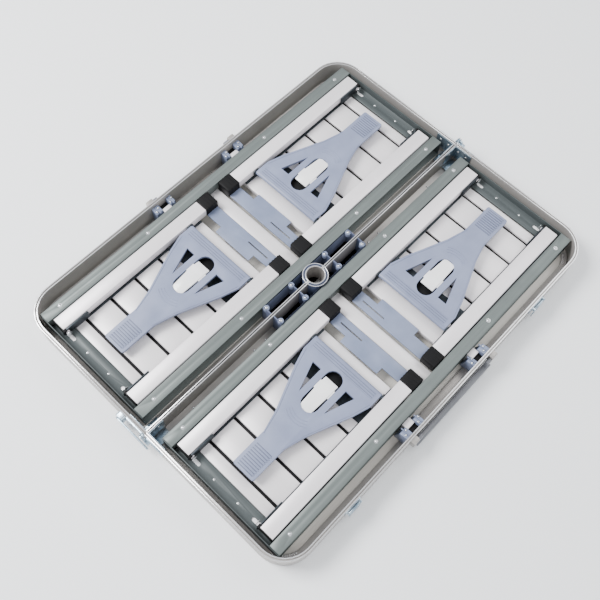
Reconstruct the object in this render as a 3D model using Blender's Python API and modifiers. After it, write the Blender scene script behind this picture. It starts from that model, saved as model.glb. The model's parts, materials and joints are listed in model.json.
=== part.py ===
"""Folding picnic table that packs into a flat case, laid open with its tabletop down.

Two aluminium trays are hinged along a seam. Their outer faces are the tabletop. Each tray
holds two seat units, one at each end, which unfold in a Z: link bars swing up from the
tray's end, the seat stays level, and the legs swing out from the seat's outer edge.

Frame: metres, +Z up, +X along the seam. The origin is the seam's middle on the tabletop's
outer face. The rear tray (+Y) is the root and the front tray folds over it about the rims'
top edge.
"""
import math

import bmesh
import bpy
from mathutils import Matrix, Vector

# Clearances
TOUCH = 0.0003            # between pieces that rest on or against each other
PIVOT_PLAY = 0.0003       # between a pivot pin and its hole
BITE = 0.0006             # how far solids that are one piece run into each other

# Trays
TRAY_LENGTH = 0.855
TRAY_WIDTH = 0.335
RIM_HEIGHT = 0.053
CORNER_RADIUS = 0.060
RIM_WALL = 0.0065
RIM_LIP = 0.0020          # each of the two lips along the rim's top edge
RIM_SLOT_DEPTH = 0.0030
RIM_FLANGE = 0.0115       # ledge over the panel's edge
RIM_GROOVE_DEPTH = 0.0010
RIM_GROOVE_LOW = 0.021
RIM_GROOVE_HIGH = 0.030
SHEET = 0.0015            # thickness of the folded aluminium sections
PANEL_THICKNESS = 0.0040
SEAM_WALL = 0.0025
SEAM_FLANGE = 0.0210
PARASOL_RADIUS = 0.018
PARASOL_RING = 0.0070     # wall of the plastic ring round the parasol hole

# Frame rails, end plates and centre tube of each tray
UNIT_CENTRE = 0.1644      # seam to the middle of a seat unit
UNIT_REACH = 0.4275       # tray's end face back to the zero that a unit is measured from
RAIL_PLANE = 0.047        # top face of the rails
RAIL_SETBACK = 0.0185     # tray's end face to a rail's end
RAIL_WIDTH = 0.0225
RIVET_X = (0.1587, 0.373)
RIVET_HOLE = 0.0023
END_PLATE_DEPTH = 0.029
END_PLATE_TOP = 0.0286
END_PLATE_RISE = 0.045
END_SLOT_OFFSET = 0.071
END_SLOT_RADIUS = 0.0035
END_SLOT_LENGTH = 0.016
END_HOLE_OFFSET = 0.0287
END_HOLE_RADIUS = 0.0022
CENTRE_TUBE_WIDTH = 0.0288
CENTRE_TUBE_TOP = 0.026
TUBE_WALL = 0.0012

# Leg tubes and feet
LEG_WIDTH = 0.0286
LEG_DEPTH = 0.0185
LEG_TOP = 0.048
LEG_INNER_END = 0.046
LEG_OUTER_END = 0.399
LEG_FACE = 0.0851         # unit centre to a leg tube's inner side
FOOT_GROWTH = 0.0012      # how far a foot cap stands proud of its tube
FOOT_TIP = 0.0147
TIE_THICKNESS = 0.0030
TIE_START = 0.017
TIE_STEP = 0.045
TIE_END = 0.060
TIE_TONGUE = 0.045        # half width of the tie's stepped tongue
TIE_SLIT_CENTRE = 0.0427
TIE_SLIT_LENGTH = 0.0526
TIE_SLIT_WIDTH = 0.0030

# Link bars and pivots
LINK_PIVOT_X = 0.3955
LINK_LENGTH = 0.2755
LINK_Z = 0.019
LINK_HEIGHT = 0.020
LINK_THICKNESS = 0.0016
PIVOT_RADIUS = 0.0030
LEG_PIVOT_Z = 0.0385
LEG_PIVOT_HEAD = 0.0050

# Seat
SEAT_OUTER_EDGE = 0.379
SEAT_END_GAP = 0.001      # seat's outer edge to the end plate
END_SLAT = 0.022
SLAT_WIDTH = 0.0532
SLAT_GAP = 0.0060
SLAT_COUNT = 5            # full-width slats, besides the narrow end slat
SLAT_TOP = 0.0265
SLAT_THICKNESS = 0.0120
SLAT_EDGE = 0.0015        # rounding of a slat's edges
SPACER_LENGTH = 0.010
SLAT_END_GAP = 0.0017     # slat's end to the seat's side sheet
SEAT_SHEET = 0.0012
SEAT_SIDE_DROP = 0.018
SEAT_STRAP_START = 0.115
SEAT_STRAP_WIDTH = 0.036
LUG_THICKNESS = 0.0024
LUG_LENGTH = 0.059
LUG_TOP = 0.047
EAR_LENGTH = 0.014

# Brace and its rocker latch
BRACE_TOP = 0.048
BRACE_THICKNESS = 0.0060
BRACE_PIVOT_X = 0.0905
BRACE_PIVOT_Z = 0.0425
BRACE_BARREL = 0.0045
BRACE_PIN = 0.0025
BRACE_TIP = 0.355
BRACE_TIP_ROUND = 0.004
BRACE_SIDE_GAP = 0.0012
BRACE_SHOULDER = (0.1207, 0.0800)
BRACE_FLANK = (0.156, 0.069)
BRACE_NECK = (0.240, 0.035)
BRACE_ARM = (0.280, 0.024)
BRACE_SLOT = (0.1115, 0.206)
BRACE_SLOT_HALF = 0.0175
BRACE_WINDOW = ((0.1285, 0.050), (0.1285, 0.030), (0.186, 0.030))
ROCKER_START = 0.132
ROCKER_HALF = 0.0148
ROCKER_EARS = (0.143, 0.163)
ROCKER_PIVOT_X = 0.153
ROCKER_PIN = 0.0018
ROCKER_RISE = 0.0015      # how far the rocker stands above the brace
ROCKER_THICKNESS = 0.0060
ROCKER_END_GAP = 0.0010

# Seam housing and handle bracket
HOUSING_HALF_LENGTH = 0.118
HOUSING_WALL = 0.0022
HOUSING_WEB = 0.045
BRACKET_START = 0.070
BRACKET_END = 0.118
BRACKET_HEIGHT = 0.038
BRACKET_STRAP_HEIGHT = 0.004
BRACKET_STRAP_DEPTH = 0.016

# Handle
HANDLE_HALF_LENGTH = 0.103
HANDLE_AXIS_OUT = 0.0060  # wall to the handle's axis
HANDLE_AXIS_Z = 0.040
HANDLE_THICKNESS = 0.0080
HANDLE_ARM = 0.011
HANDLE_GRIP_LOW = 0.008
HANDLE_GRIP_HEIGHT = 0.016
HANDLE_GRIP_GROWTH = 0.0030
BOSS_LENGTH = 0.014
BOSS_HEIGHT = 0.020

# Case hinges
LEAF_THICKNESS = 0.0020
LEAF_LENGTH = 0.045
LEAF_LOW = 0.034
LEAF_HIGH = 0.0505
KNUCKLE_RADIUS = 0.0045
KNUCKLE_LENGTH = 0.0040
KNUCKLE_CLEAR = 0.0055    # seam plane to the front leaf
LEAF_TAB = 0.0105         # reach of the front leaf's tab toward its knuckle
LEAF_TAB_HEIGHT = 0.010
LEAF_LINK = 0.004         # how far the knuckle's link runs into the tab
KNUCKLE_STEP = 0.0001     # how far a knuckle stands out past its tab and link
HINGE_PIN_RADIUS = 0.0018
HINGE_PIN_HEAD = 0.0036

# Lock bar
LOCK_PIVOT_Y = 0.061
LOCK_PIVOT_Z = 0.0225
LOCK_LENGTH = 0.082
LOCK_HEIGHT = 0.012
LOCK_THICKNESS = 0.0030
LOCK_PAD = 0.018

# Draw latches
LATCH_X = (-0.267, 0.253)
LATCH_WIDTH = 0.038
LATCH_AXIS_OUT = 0.0050
LATCH_AXIS_Z = 0.044
LATCH_BARREL = 0.0025
LATCH_BARREL_HALF = 0.013
LATCH_PIN = 0.0015
LATCH_EAR = 0.0030
LATCH_LOW = 0.010
LATCH_BASE_LOW = 0.024
LATCH_BASE_HIGH = 0.050
LATCH_HOOK_RISE = 0.0048  # short enough to clear the wall as the lever swings out
LATCH_PLATE = 0.0015

# Worked-out places
HALF_LENGTH = TRAY_LENGTH / 2
UNIT_START = HALF_LENGTH - UNIT_REACH
RAIL_HALF_LENGTH = HALF_LENGTH - RAIL_SETBACK
RIM_TOP = RIM_HEIGHT - TOUCH
PANEL_TOP = PANEL_THICKNESS + TOUCH
LEDGE_TOP = PANEL_TOP + SHEET
ABOVE_LEDGE = LEDGE_TOP + TOUCH
WALL_IN = HALF_LENGTH - RIM_WALL
LEDGE_IN = WALL_IN - RIM_FLANGE
SEAM_INNER = TOUCH + SEAM_WALL
LEG_OUTER_FACE = LEG_FACE + LEG_WIDTH
LINK_IN = LEG_OUTER_FACE + 2 * TOUCH
LINK_OUT = LINK_IN + LINK_THICKNESS
RAIL_FACE = LINK_OUT + 2 * TOUCH
FRAME_PIVOT_X = UNIT_START + LINK_PIVOT_X
SEAT_PIVOT_X = LINK_PIVOT_X - LINK_LENGTH
SEAT_INNER_EDGE = SEAT_OUTER_EDGE - END_SLAT - SLAT_COUNT * (SLAT_GAP + SLAT_WIDTH)
SEAT_SIDE_TOP = SLAT_TOP + TOUCH + SEAT_SHEET
SEAT_SIDE_FACE = LEG_OUTER_FACE - SEAT_SHEET
SLAT_END = SEAT_SIDE_FACE - SLAT_END_GAP
LUG_OUT = LEG_FACE - 5 * TOUCH
LUG_IN = LUG_OUT - LUG_THICKNESS
BRACE_HALF = LUG_IN - BRACE_SIDE_GAP
END_PLATE_IN = UNIT_START + SEAT_OUTER_EDGE + SEAT_END_GAP
HANDLE_AXIS_Y = TRAY_WIDTH + HANDLE_AXIS_OUT
LATCH_AXIS_Y = -TRAY_WIDTH - LATCH_AXIS_OUT
LOCK_FACE = HALF_LENGTH + 4 * TOUCH + 2 * KNUCKLE_LENGTH

HALF_TURN = Matrix.Rotation(math.pi, 4, "Z")

COLLECTION = "folding_picnic_table"


def clear_scene():
    """Removes every object and leaves the file otherwise as it is."""
    for item in list(bpy.data.objects):
        bpy.data.objects.remove(item, do_unlink=True)


def make_collection(name):
    """Makes a collection in the scene."""
    group = bpy.data.collections.new(name)
    bpy.context.scene.collection.children.link(group)
    return group


def make_material(name, colour, roughness, metallic):
    """Makes a Principled BSDF material with a plain linear colour."""
    material = bpy.data.materials.new(name)
    material.use_nodes = True
    shader = material.node_tree.nodes["Principled BSDF"]
    shader.inputs["Base Color"].default_value = (*colour, 1.0)
    shader.inputs["Roughness"].default_value = roughness
    shader.inputs["Metallic"].default_value = metallic
    material.diffuse_color = (*colour, 1.0)
    return material


def work_object(bm, name="work"):
    """Turns a bmesh into a working object that later steps cut, join and remove."""
    bmesh.ops.recalc_face_normals(bm, faces=bm.faces)
    mesh = bpy.data.meshes.new(name)
    bm.to_mesh(mesh)
    bm.free()
    item = bpy.data.objects.new(name, mesh)
    bpy.context.scene.collection.objects.link(item)
    return item


def add_block(bm, low, high):
    """Adds a box between two corners to bm and gives its edges."""
    size = Vector(high) - Vector(low)
    middle = (Vector(high) + Vector(low)) / 2
    place = Matrix.Translation(middle) @ Matrix.Diagonal((*size, 1.0))
    made = bmesh.ops.create_cube(bm, size=1.0, matrix=place)
    return list({edge for vert in made["verts"] for edge in vert.link_edges})


def edges_along(edges, axis):
    """Picks the edges that run along one axis (0, 1 or 2)."""
    def along(edge):
        run = edge.verts[1].co - edge.verts[0].co
        return abs(run[axis]) > 0.999 * run.length
    return [edge for edge in edges if along(edge)]


def block(low, high, round_axis=None, radius=0.0, steps=3, pick=None):
    """Makes a box, with the edges along one axis rounded where pick allows it."""
    bm = bmesh.new()
    edges = add_block(bm, low, high)
    if round_axis is not None:
        chosen = edges_along(edges, round_axis)
        if pick is not None:
            chosen = [edge for edge in chosen if pick(edge.verts[0].co)]
        bmesh.ops.bevel(bm, geom=chosen, offset=radius, segments=steps, profile=0.5,
                        affect="EDGES")
    return work_object(bm)


def rod(start, end, radius, sides=12, tip_radius=None):
    """Makes a cylinder or cone between two points."""
    run = Vector(end) - Vector(start)
    turn = run.to_track_quat("Z", "Y").to_matrix().to_4x4()
    place = Matrix.Translation((Vector(start) + Vector(end)) / 2) @ turn
    bm = bmesh.new()
    bmesh.ops.create_cone(bm, cap_ends=True, segments=sides, radius1=radius,
                          radius2=radius if tip_radius is None else tip_radius,
                          depth=run.length, matrix=place)
    return work_object(bm)


def take_mesh(item):
    """Evaluates an object, removes it and gives its mesh in world space."""
    bpy.context.view_layer.update()
    shown = item.evaluated_get(bpy.context.evaluated_depsgraph_get())
    mesh = bpy.data.meshes.new_from_object(shown)
    mesh.transform(item.matrix_world)
    bpy.data.objects.remove(item, do_unlink=True)
    return mesh


def boolean(item, tools, operation):
    """Joins tools to an object or cuts them out of it, and gives the resulting object."""
    for tool in tools:
        step = item.modifiers.new("boolean", "BOOLEAN")
        step.operation = operation
        step.solver = "EXACT"
        step.object = tool
    result = bpy.data.objects.new("work", take_mesh(item))
    bpy.context.scene.collection.objects.link(result)
    for tool in tools:
        bpy.data.objects.remove(tool, do_unlink=True)
    return result


def join(item, *tools):
    """Boolean union."""
    return boolean(item, tools, "UNION")


def cut(item, *tools):
    """Boolean difference."""
    return boolean(item, tools, "DIFFERENCE")


def section(points, start, end):
    """Extrudes a closed (y, z) section along x."""
    bm = bmesh.new()
    face = bm.faces.new([bm.verts.new((start, y, z)) for y, z in points])
    made = bmesh.ops.extrude_face_region(bm, geom=[face])
    moved = [part for part in made["geom"] if isinstance(part, bmesh.types.BMVert)]
    bmesh.ops.translate(bm, verts=moved, vec=(end - start, 0, 0))
    return work_object(bm)


def hollow_bars(bars, axis, wall, radius):
    """Makes open-ended hollow bars along an axis: shells of rounded boxes with Solidify."""
    bm = bmesh.new()
    for low, high in bars:
        edges = add_block(bm, low, high)
        bmesh.ops.bevel(bm, geom=edges_along(edges, axis), offset=radius, segments=2,
                        profile=0.5, affect="EDGES")
    ends = [face for face in bm.faces if abs(face.normal[axis]) > 0.9]
    bmesh.ops.delete(bm, geom=ends, context="FACES")
    item = work_object(bm)
    shell = item.modifiers.new("wall", "SOLIDIFY")
    shell.thickness = wall
    shell.offset = -1.0
    shell.use_even_offset = True
    return item


def plate(outlines, low_z, high_z):
    """Makes a flat plate from closed (x, y) outlines, the first outside, the rest holes."""
    curve = bpy.data.curves.new("outline", "CURVE")
    curve.dimensions = "2D"
    curve.fill_mode = "BOTH"
    curve.extrude = (high_z - low_z) / 2
    for outline in outlines:
        spline = curve.splines.new("POLY")
        spline.points.add(len(outline) - 1)
        for point, (x, y) in zip(spline.points, outline):
            point.co = (x, y, 0.0, 1.0)
        spline.use_cyclic_u = True
    item = bpy.data.objects.new("outline", curve)
    item.location = (0, 0, (high_z + low_z) / 2)
    bpy.context.scene.collection.objects.link(item)
    mesh = take_mesh(item)
    bm = bmesh.new()
    bm.from_mesh(mesh)
    bpy.data.meshes.remove(mesh)
    bmesh.ops.remove_doubles(bm, verts=bm.verts, dist=0.00001)
    return work_object(bm)


def arc(centre, radius, start_degrees, end_degrees, steps):
    """Gives the points of an arc, both ends included."""
    points = []
    for step in range(steps + 1):
        angle = math.radians(start_degrees + (end_degrees - start_degrees) * step / steps)
        points.append((centre[0] + radius * math.cos(angle), centre[1] + radius * math.sin(angle)))
    return points


def swept_rim(profile):
    """Sweeps the rim's (inset, z) profile round a tray's three outer sides."""
    corner_x = HALF_LENGTH - CORNER_RADIUS
    corner_y = TRAY_WIDTH - CORNER_RADIUS
    bm = bmesh.new()
    verts = [bm.verts.new((HALF_LENGTH - inset, TOUCH, z)) for inset, z in profile]
    edges = [bm.edges.new((verts[i - 1], verts[i])) for i in range(len(verts))]

    def run(edges, vector):
        made = bmesh.ops.extrude_edge_only(bm, edges=edges)["geom"]
        moved = [part for part in made if isinstance(part, bmesh.types.BMVert)]
        bmesh.ops.translate(bm, verts=moved, vec=vector)
        return [part for part in made if isinstance(part, bmesh.types.BMEdge)]

    def turn(edges, centre):
        verts = list({vert for edge in edges for vert in edge.verts})
        made = bmesh.ops.spin(bm, geom=verts + edges, cent=centre, axis=(0, 0, 1),
                              dvec=(0, 0, 0), angle=math.radians(90), steps=8)["geom_last"]
        return [part for part in made if isinstance(part, bmesh.types.BMEdge)]

    edges = run(edges, (0, corner_y - TOUCH, 0))
    edges = turn(edges, (corner_x, corner_y, 0))
    edges = run(edges, (-2 * corner_x, 0, 0))
    edges = turn(edges, (-corner_x, corner_y, 0))
    run(edges, (0, TOUCH - corner_y, 0))
    bmesh.ops.remove_doubles(bm, verts=bm.verts, dist=0.00001)
    open_edges = [edge for edge in bm.edges if edge.is_boundary]
    bmesh.ops.holes_fill(bm, edges=open_edges, sides=0)
    return work_object(bm)


def tabletop_panel():
    """Flat board with two rounded corners, inside the rim and under its ledge."""
    edge = WALL_IN - TOUCH
    outer = TRAY_WIDTH - RIM_WALL - TOUCH
    board = block((-edge, SEAM_INNER + TOUCH, 0), (edge, outer, PANEL_THICKNESS), 2,
                  CORNER_RADIUS - RIM_WALL - TOUCH, 8, lambda co: co.y > TRAY_WIDTH / 2)
    hole = rod((0, 0, -RIM_HEIGHT), (0, 0, RIM_HEIGHT), PARASOL_RADIUS, 24)
    return take_mesh(cut(board, hole))


def tray_rim(sign):
    """Extruded edge profile: wall, two top lips, outer groove and a ledge on the panel.

    The fittings riveted to its outside are part of it: the hinge knuckles, the handle's
    bosses, the rear tray's lock bar pad and the front tray's latch bases.
    """
    slot_low = RIM_TOP - RIM_SLOT_DEPTH
    profile = [
        (0, 0), (RIM_WALL, 0), (RIM_WALL, PANEL_TOP),
        (RIM_WALL + RIM_FLANGE, PANEL_TOP), (RIM_WALL + RIM_FLANGE, LEDGE_TOP),
        (RIM_WALL, LEDGE_TOP), (RIM_WALL, RIM_TOP), (RIM_WALL - RIM_LIP, RIM_TOP),
        (RIM_WALL - RIM_LIP, slot_low), (RIM_LIP, slot_low), (RIM_LIP, RIM_TOP),
        (0, RIM_TOP), (0, RIM_GROOVE_HIGH),
        (RIM_GROOVE_DEPTH, RIM_GROOVE_HIGH - RIM_GROOVE_DEPTH),
        (RIM_GROOVE_DEPTH, RIM_GROOVE_LOW + RIM_GROOVE_DEPTH), (0, RIM_GROOVE_LOW),
    ]
    rim = swept_rim(profile)
    if sign < 0:
        rim.matrix_world = HALF_TURN
    fittings = hinge_leaves(sign) + handle_bosses(sign)
    fittings += [lock_pad()] if sign > 0 else latch_bases()
    return take_mesh(join(rim, *fittings))


def seam_wall():
    """Straight L section along the seam, open for the parasol pole and notched at its ends
    for the rim's ledge."""
    reach = WALL_IN - TOUCH
    wall = block((-reach, TOUCH, 0), (reach, SEAM_INNER, RIM_TOP))
    ledge_reach = LEDGE_IN - TOUCH
    ledge = block((-ledge_reach, SEAM_INNER - SHEET, PANEL_TOP),
                  (ledge_reach, SEAM_INNER + SEAM_FLANGE, LEDGE_TOP))
    hole = rod((0, 0, -RIM_HEIGHT), (0, 0, 2 * RIM_HEIGHT), PARASOL_RADIUS, 24)
    notches = []
    for sign in (1, -1):
        ends = sorted((sign * ledge_reach, sign * HALF_LENGTH))
        notches.append(block((ends[0], -SEAM_INNER, PANEL_TOP - TOUCH),
                             (ends[1], 2 * SEAM_INNER, ABOVE_LEDGE)))
    return take_mesh(cut(join(wall, ledge), hole, *notches))


def rail_section(side):
    """C section of a frame rail, its web towards the seat unit (side +1 outer, -1 inner)."""
    face = UNIT_CENTRE + side * RAIL_FACE
    far = face + side * RAIL_WIDTH
    inside = face + side * SHEET
    return [
        (far, RAIL_PLANE), (face, RAIL_PLANE), (face, ABOVE_LEDGE), (far, ABOVE_LEDGE),
        (far, ABOVE_LEDGE + SHEET), (inside, ABOVE_LEDGE + SHEET),
        (inside, RAIL_PLANE - SHEET), (far, RAIL_PLANE - SHEET),
    ]


def rivet_line(side):
    """Y of the rivets along a rail."""
    return UNIT_CENTRE + side * (RAIL_FACE + RAIL_WIDTH / 2)


def frame_rail(side):
    """Rail with rivet holes on top and the link axle's holes in the web."""
    rail = section(rail_section(side), -RAIL_HALF_LENGTH, RAIL_HALF_LENGTH)
    holes = []
    for sign in (1, -1):
        for x in RIVET_X:
            top = (sign * x, rivet_line(side), RAIL_PLANE + SHEET)
            low = (sign * x, rivet_line(side), RAIL_PLANE - 2 * SHEET)
            holes.append(rod(low, top, RIVET_HOLE, 8))
        face = UNIT_CENTRE + side * RAIL_FACE
        start = (sign * FRAME_PIVOT_X, face - side * SHEET, LINK_Z)
        end = (sign * FRAME_PIVOT_X, face + side * 2 * SHEET, LINK_Z)
        holes.append(rod(start, end, PIVOT_RADIUS + PIVOT_PLAY, 12))
    return take_mesh(cut(rail, *holes))


def end_plate(sign):
    """Angle across one end of the rails, with two slots and two screw holes in its floor."""
    outer = RAIL_HALF_LENGTH + TOUCH
    full_reach = RAIL_FACE + RAIL_WIDTH
    ends = sorted((sign * END_PLATE_IN, sign * (outer + SHEET / 2)))
    floor = block((ends[0], UNIT_CENTRE - LEG_OUTER_FACE, END_PLATE_TOP - SHEET),
                  (ends[1], UNIT_CENTRE + LEG_OUTER_FACE, END_PLATE_TOP))
    ends = sorted((sign * outer, sign * (outer + SHEET)))
    upright = block((ends[0], UNIT_CENTRE - full_reach, ABOVE_LEDGE),
                    (ends[1], UNIT_CENTRE + full_reach, END_PLATE_RISE))
    holes = []
    x = sign * FRAME_PIVOT_X
    for side in (1, -1):
        y = UNIT_CENTRE + side * END_SLOT_OFFSET
        half = END_SLOT_LENGTH / 2
        holes.append(block((x - END_SLOT_RADIUS, y - half, END_PLATE_TOP - 3 * SHEET),
                           (x + END_SLOT_RADIUS, y + half, END_PLATE_TOP + SHEET), 2,
                           END_SLOT_RADIUS * 0.98, 4))
        y = UNIT_CENTRE + side * END_HOLE_OFFSET
        holes.append(rod((x, y, END_PLATE_TOP - 3 * SHEET), (x, y, END_PLATE_TOP + SHEET),
                         END_HOLE_RADIUS, 10))
    return take_mesh(cut(join(floor, upright), *holes))


def centre_tube():
    """Rectangular tube across the tray's middle, between the rails' webs."""
    half = CENTRE_TUBE_WIDTH / 2
    reach = RAIL_FACE - TOUCH
    bar = ((-half, UNIT_CENTRE - reach, PANEL_TOP), (half, UNIT_CENTRE + reach, CENTRE_TUBE_TOP))
    return take_mesh(hollow_bars([bar], 1, TUBE_WALL, 0.002))


def seam_housing():
    """Plastic tray beside the seam, with end walls, webs and half of the parasol ring."""
    low_y = SEAM_INNER + TOUCH
    high_y = UNIT_CENTRE - RAIL_FACE - RAIL_WIDTH - 2 * TOUCH
    low_z = ABOVE_LEDGE
    high_z = RIM_TOP - TOUCH
    half = HOUSING_HALF_LENGTH
    wall = HOUSING_WALL
    inset = high_y - wall / 4
    root = low_z + wall / 2
    floor = block((-half, -low_y, low_z), (half, high_y, low_z + wall))
    pieces = [block((BITE - half, high_y - wall, root), (half - BITE, inset, high_z - 0.004))]
    for x in (2 * BITE - half, -HOUSING_WEB - wall, HOUSING_WEB, half - wall - 2 * BITE):
        pieces.append(block((x, -low_y, root), (x + wall, high_y - wall / 2, high_z)))
    ring_radius = min(PARASOL_RADIUS + PARASOL_RING, high_y - wall / 3)
    pieces.append(rod((0, 0, low_z + wall / 3), (0, 0, high_z - TOUCH), ring_radius, 24))
    hole = rod((0, 0, -RIM_HEIGHT), (0, 0, 2 * RIM_HEIGHT), PARASOL_RADIUS, 24)
    front = block((-2 * half, -2 * half, -RIM_HEIGHT), (2 * half, low_y, 2 * RIM_HEIGHT))
    return take_mesh(cut(join(floor, *pieces), hole, front))


def handle_bracket():
    """Moulding inside the outer wall: two blocks joined by a low strap."""
    inner = UNIT_CENTRE + RAIL_FACE + RAIL_WIDTH + 2 * TOUCH
    outer = TRAY_WIDTH - RIM_WALL - TOUCH
    low = ABOVE_LEDGE
    strap = block((-BRACKET_START - 0.001, outer - BRACKET_STRAP_DEPTH, low),
                  (BRACKET_START + 0.001, outer - BITE, low + BRACKET_STRAP_HEIGHT))
    blocks = []
    for sign in (1, -1):
        ends = sorted((sign * BRACKET_START, sign * BRACKET_END))
        blocks.append(block((ends[0], inner, low), (ends[1], outer, low + BRACKET_HEIGHT), 2,
                            0.003, 2))
    return take_mesh(join(strap, *blocks))


def handle_bosses(tray):
    """Two bosses on a tray's outer wall that hold its handle's pins."""
    bosses = []
    start = HANDLE_HALF_LENGTH + TOUCH
    for sign in (1, -1):
        ends = sorted((sign * start, sign * (start + BOSS_LENGTH)))
        sides = sorted((tray * (TRAY_WIDTH - BITE), tray * (HANDLE_AXIS_Y + HANDLE_THICKNESS / 2)))
        boss = block((ends[0], sides[0], HANDLE_AXIS_Z - BOSS_HEIGHT / 2),
                     (ends[1], sides[1], HANDLE_AXIS_Z + BOSS_HEIGHT / 2),
                     0, 0.003, 2, lambda co: abs(co.y) > HANDLE_AXIS_Y)
        hole = rod((sign * (start - 0.002), tray * HANDLE_AXIS_Y, HANDLE_AXIS_Z),
                   (sign * (start + BOSS_LENGTH * 0.7), tray * HANDLE_AXIS_Y, HANDLE_AXIS_Z),
                   PIVOT_RADIUS + PIVOT_PLAY, 12)
        bosses.append(cut(boss, hole))
    return bosses


def carry_handle():
    """Plastic U handle that lies flat against the wall: grip, two arms and pivot pins."""
    half = HANDLE_THICKNESS / 2
    thick = half + HANDLE_GRIP_GROWTH
    grip = block((-HANDLE_HALF_LENGTH, HANDLE_AXIS_Y - half, HANDLE_GRIP_LOW),
                 (HANDLE_HALF_LENGTH, HANDLE_AXIS_Y + thick, HANDLE_GRIP_LOW + HANDLE_GRIP_HEIGHT),
                 0, 0.003, 3)
    pieces = []
    for sign in (1, -1):
        ends = sorted((sign * (HANDLE_HALF_LENGTH - HANDLE_ARM), sign * HANDLE_HALF_LENGTH))
        pieces.append(block((ends[0], HANDLE_AXIS_Y - half, HANDLE_GRIP_LOW + HANDLE_GRIP_HEIGHT / 2),
                            (ends[1], HANDLE_AXIS_Y + half, HANDLE_AXIS_Z)))
        pieces.append(rod((ends[0], HANDLE_AXIS_Y, HANDLE_AXIS_Z),
                          (ends[1], HANDLE_AXIS_Y, HANDLE_AXIS_Z), half, 12))
        pieces.append(rod((sign * (HANDLE_HALF_LENGTH - HANDLE_ARM / 2), HANDLE_AXIS_Y, HANDLE_AXIS_Z),
                          (sign * (HANDLE_HALF_LENGTH + BOSS_LENGTH / 2), HANDLE_AXIS_Y, HANDLE_AXIS_Z),
                          PIVOT_RADIUS, 12))
    return take_mesh(join(grip, *pieces))


def link_frame():
    """Two steel bars beside the leg tubes, their seat pins, and the axle across the tray."""
    end = LINK_HEIGHT / 2
    reach = RAIL_FACE + 2 * SHEET
    axle = rod((LINK_PIVOT_X, -reach, LINK_Z), (LINK_PIVOT_X, reach, LINK_Z), PIVOT_RADIUS, 12)
    pieces = []
    for side in (1, -1):
        faces = sorted((side * LINK_IN, side * LINK_OUT))
        pieces.append(block((SEAT_PIVOT_X - end, faces[0], LINK_Z - end),
                            (LINK_PIVOT_X + end, faces[1], LINK_Z + end), 1, end * 0.98, 5))
        middle = side * (LINK_IN + LINK_THICKNESS / 2)
        pieces.append(rod((SEAT_PIVOT_X, middle, LINK_Z),
                          (SEAT_PIVOT_X, side * (SLAT_END + TOUCH), LINK_Z), PIVOT_RADIUS, 12))
    return take_mesh(join(axle, *pieces))


def seat_slats():
    """Hollow aluminium slats, a narrow one outermost, held apart by spacers at their ends."""
    bars = []
    spacers = []
    outer = SEAT_OUTER_EDGE
    widths = [END_SLAT] + [SLAT_WIDTH] * SLAT_COUNT
    for number, width in enumerate(widths):
        bars.append(((outer - width, -SLAT_END, SLAT_TOP - SLAT_THICKNESS),
                     (outer, SLAT_END, SLAT_TOP)))
        outer -= width + SLAT_GAP
        if number == SLAT_COUNT:
            break
        for side in (1, -1):
            ends = sorted((side * SLAT_END, side * (SLAT_END - SPACER_LENGTH)))
            spacers.append(block((outer - BITE, ends[0], SLAT_TOP - SLAT_THICKNESS + SLAT_EDGE * 2),
                                 (outer + SLAT_GAP + BITE, ends[1], SLAT_TOP - SLAT_EDGE * 2)))
    return take_mesh(join(hollow_bars(bars, 1, TUBE_WALL, SLAT_EDGE), *spacers))


def seat_frame():
    """Steel angles along the seat's sides, a cross strap, leg lugs and brace ears."""
    low = SLAT_TOP + TOUCH
    strap = block((SEAT_STRAP_START, -LUG_OUT, low),
                  (SEAT_STRAP_START + SEAT_STRAP_WIDTH, LUG_OUT, SEAT_SIDE_TOP))
    pieces = []
    holes = []
    inner_end = SEAT_INNER_EDGE + TOUCH
    outer_end = SEAT_OUTER_EDGE - TOUCH
    for side in (1, -1):
        faces = sorted((side * LUG_IN, side * LEG_OUTER_FACE))
        pieces.append(block((inner_end, faces[0], low), (outer_end, faces[1], SEAT_SIDE_TOP)))
        faces = sorted((side * SEAT_SIDE_FACE, side * LEG_OUTER_FACE))
        pieces.append(block((inner_end, faces[0], SEAT_SIDE_TOP - SEAT_SIDE_DROP),
                            (outer_end, faces[1], SEAT_SIDE_TOP)))
        faces = sorted((side * LUG_IN, side * LUG_OUT))
        lug_end = LINK_PIVOT_X + LUG_TOP - LEG_PIVOT_Z
        lug_low = 2 * LEG_PIVOT_Z - LUG_TOP
        pieces.append(block((lug_end - LUG_LENGTH, faces[0], low), (outer_end, faces[1], LUG_TOP)))
        pieces.append(block((outer_end - 0.006, faces[0], lug_low), (lug_end, faces[1], LUG_TOP), 1,
                            LUG_TOP - LEG_PIVOT_Z - 0.0002, 4, lambda co: co.x > LINK_PIVOT_X))
        pieces.append(block((BRACE_PIVOT_X - EAR_LENGTH / 2, faces[0], low),
                            (BRACE_PIVOT_X + EAR_LENGTH / 2, faces[1], LUG_TOP), 1, 0.003, 2,
                            lambda co: co.z > BRACE_PIVOT_Z))
        for x, z, radius in ((LINK_PIVOT_X, LEG_PIVOT_Z, PIVOT_RADIUS),
                             (BRACE_PIVOT_X, BRACE_PIVOT_Z, BRACE_PIN),
                             (SEAT_PIVOT_X, LINK_Z, PIVOT_RADIUS)):
            inside = LUG_IN if z > SLAT_TOP else SEAT_SIDE_FACE
            outside = LUG_OUT if z > SLAT_TOP else LEG_OUTER_FACE
            holes.append(rod((x, side * (inside - SHEET), z), (x, side * (outside + SHEET), z),
                             radius + PIVOT_PLAY, 12))
    return take_mesh(cut(join(strap, *pieces), *holes))


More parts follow.
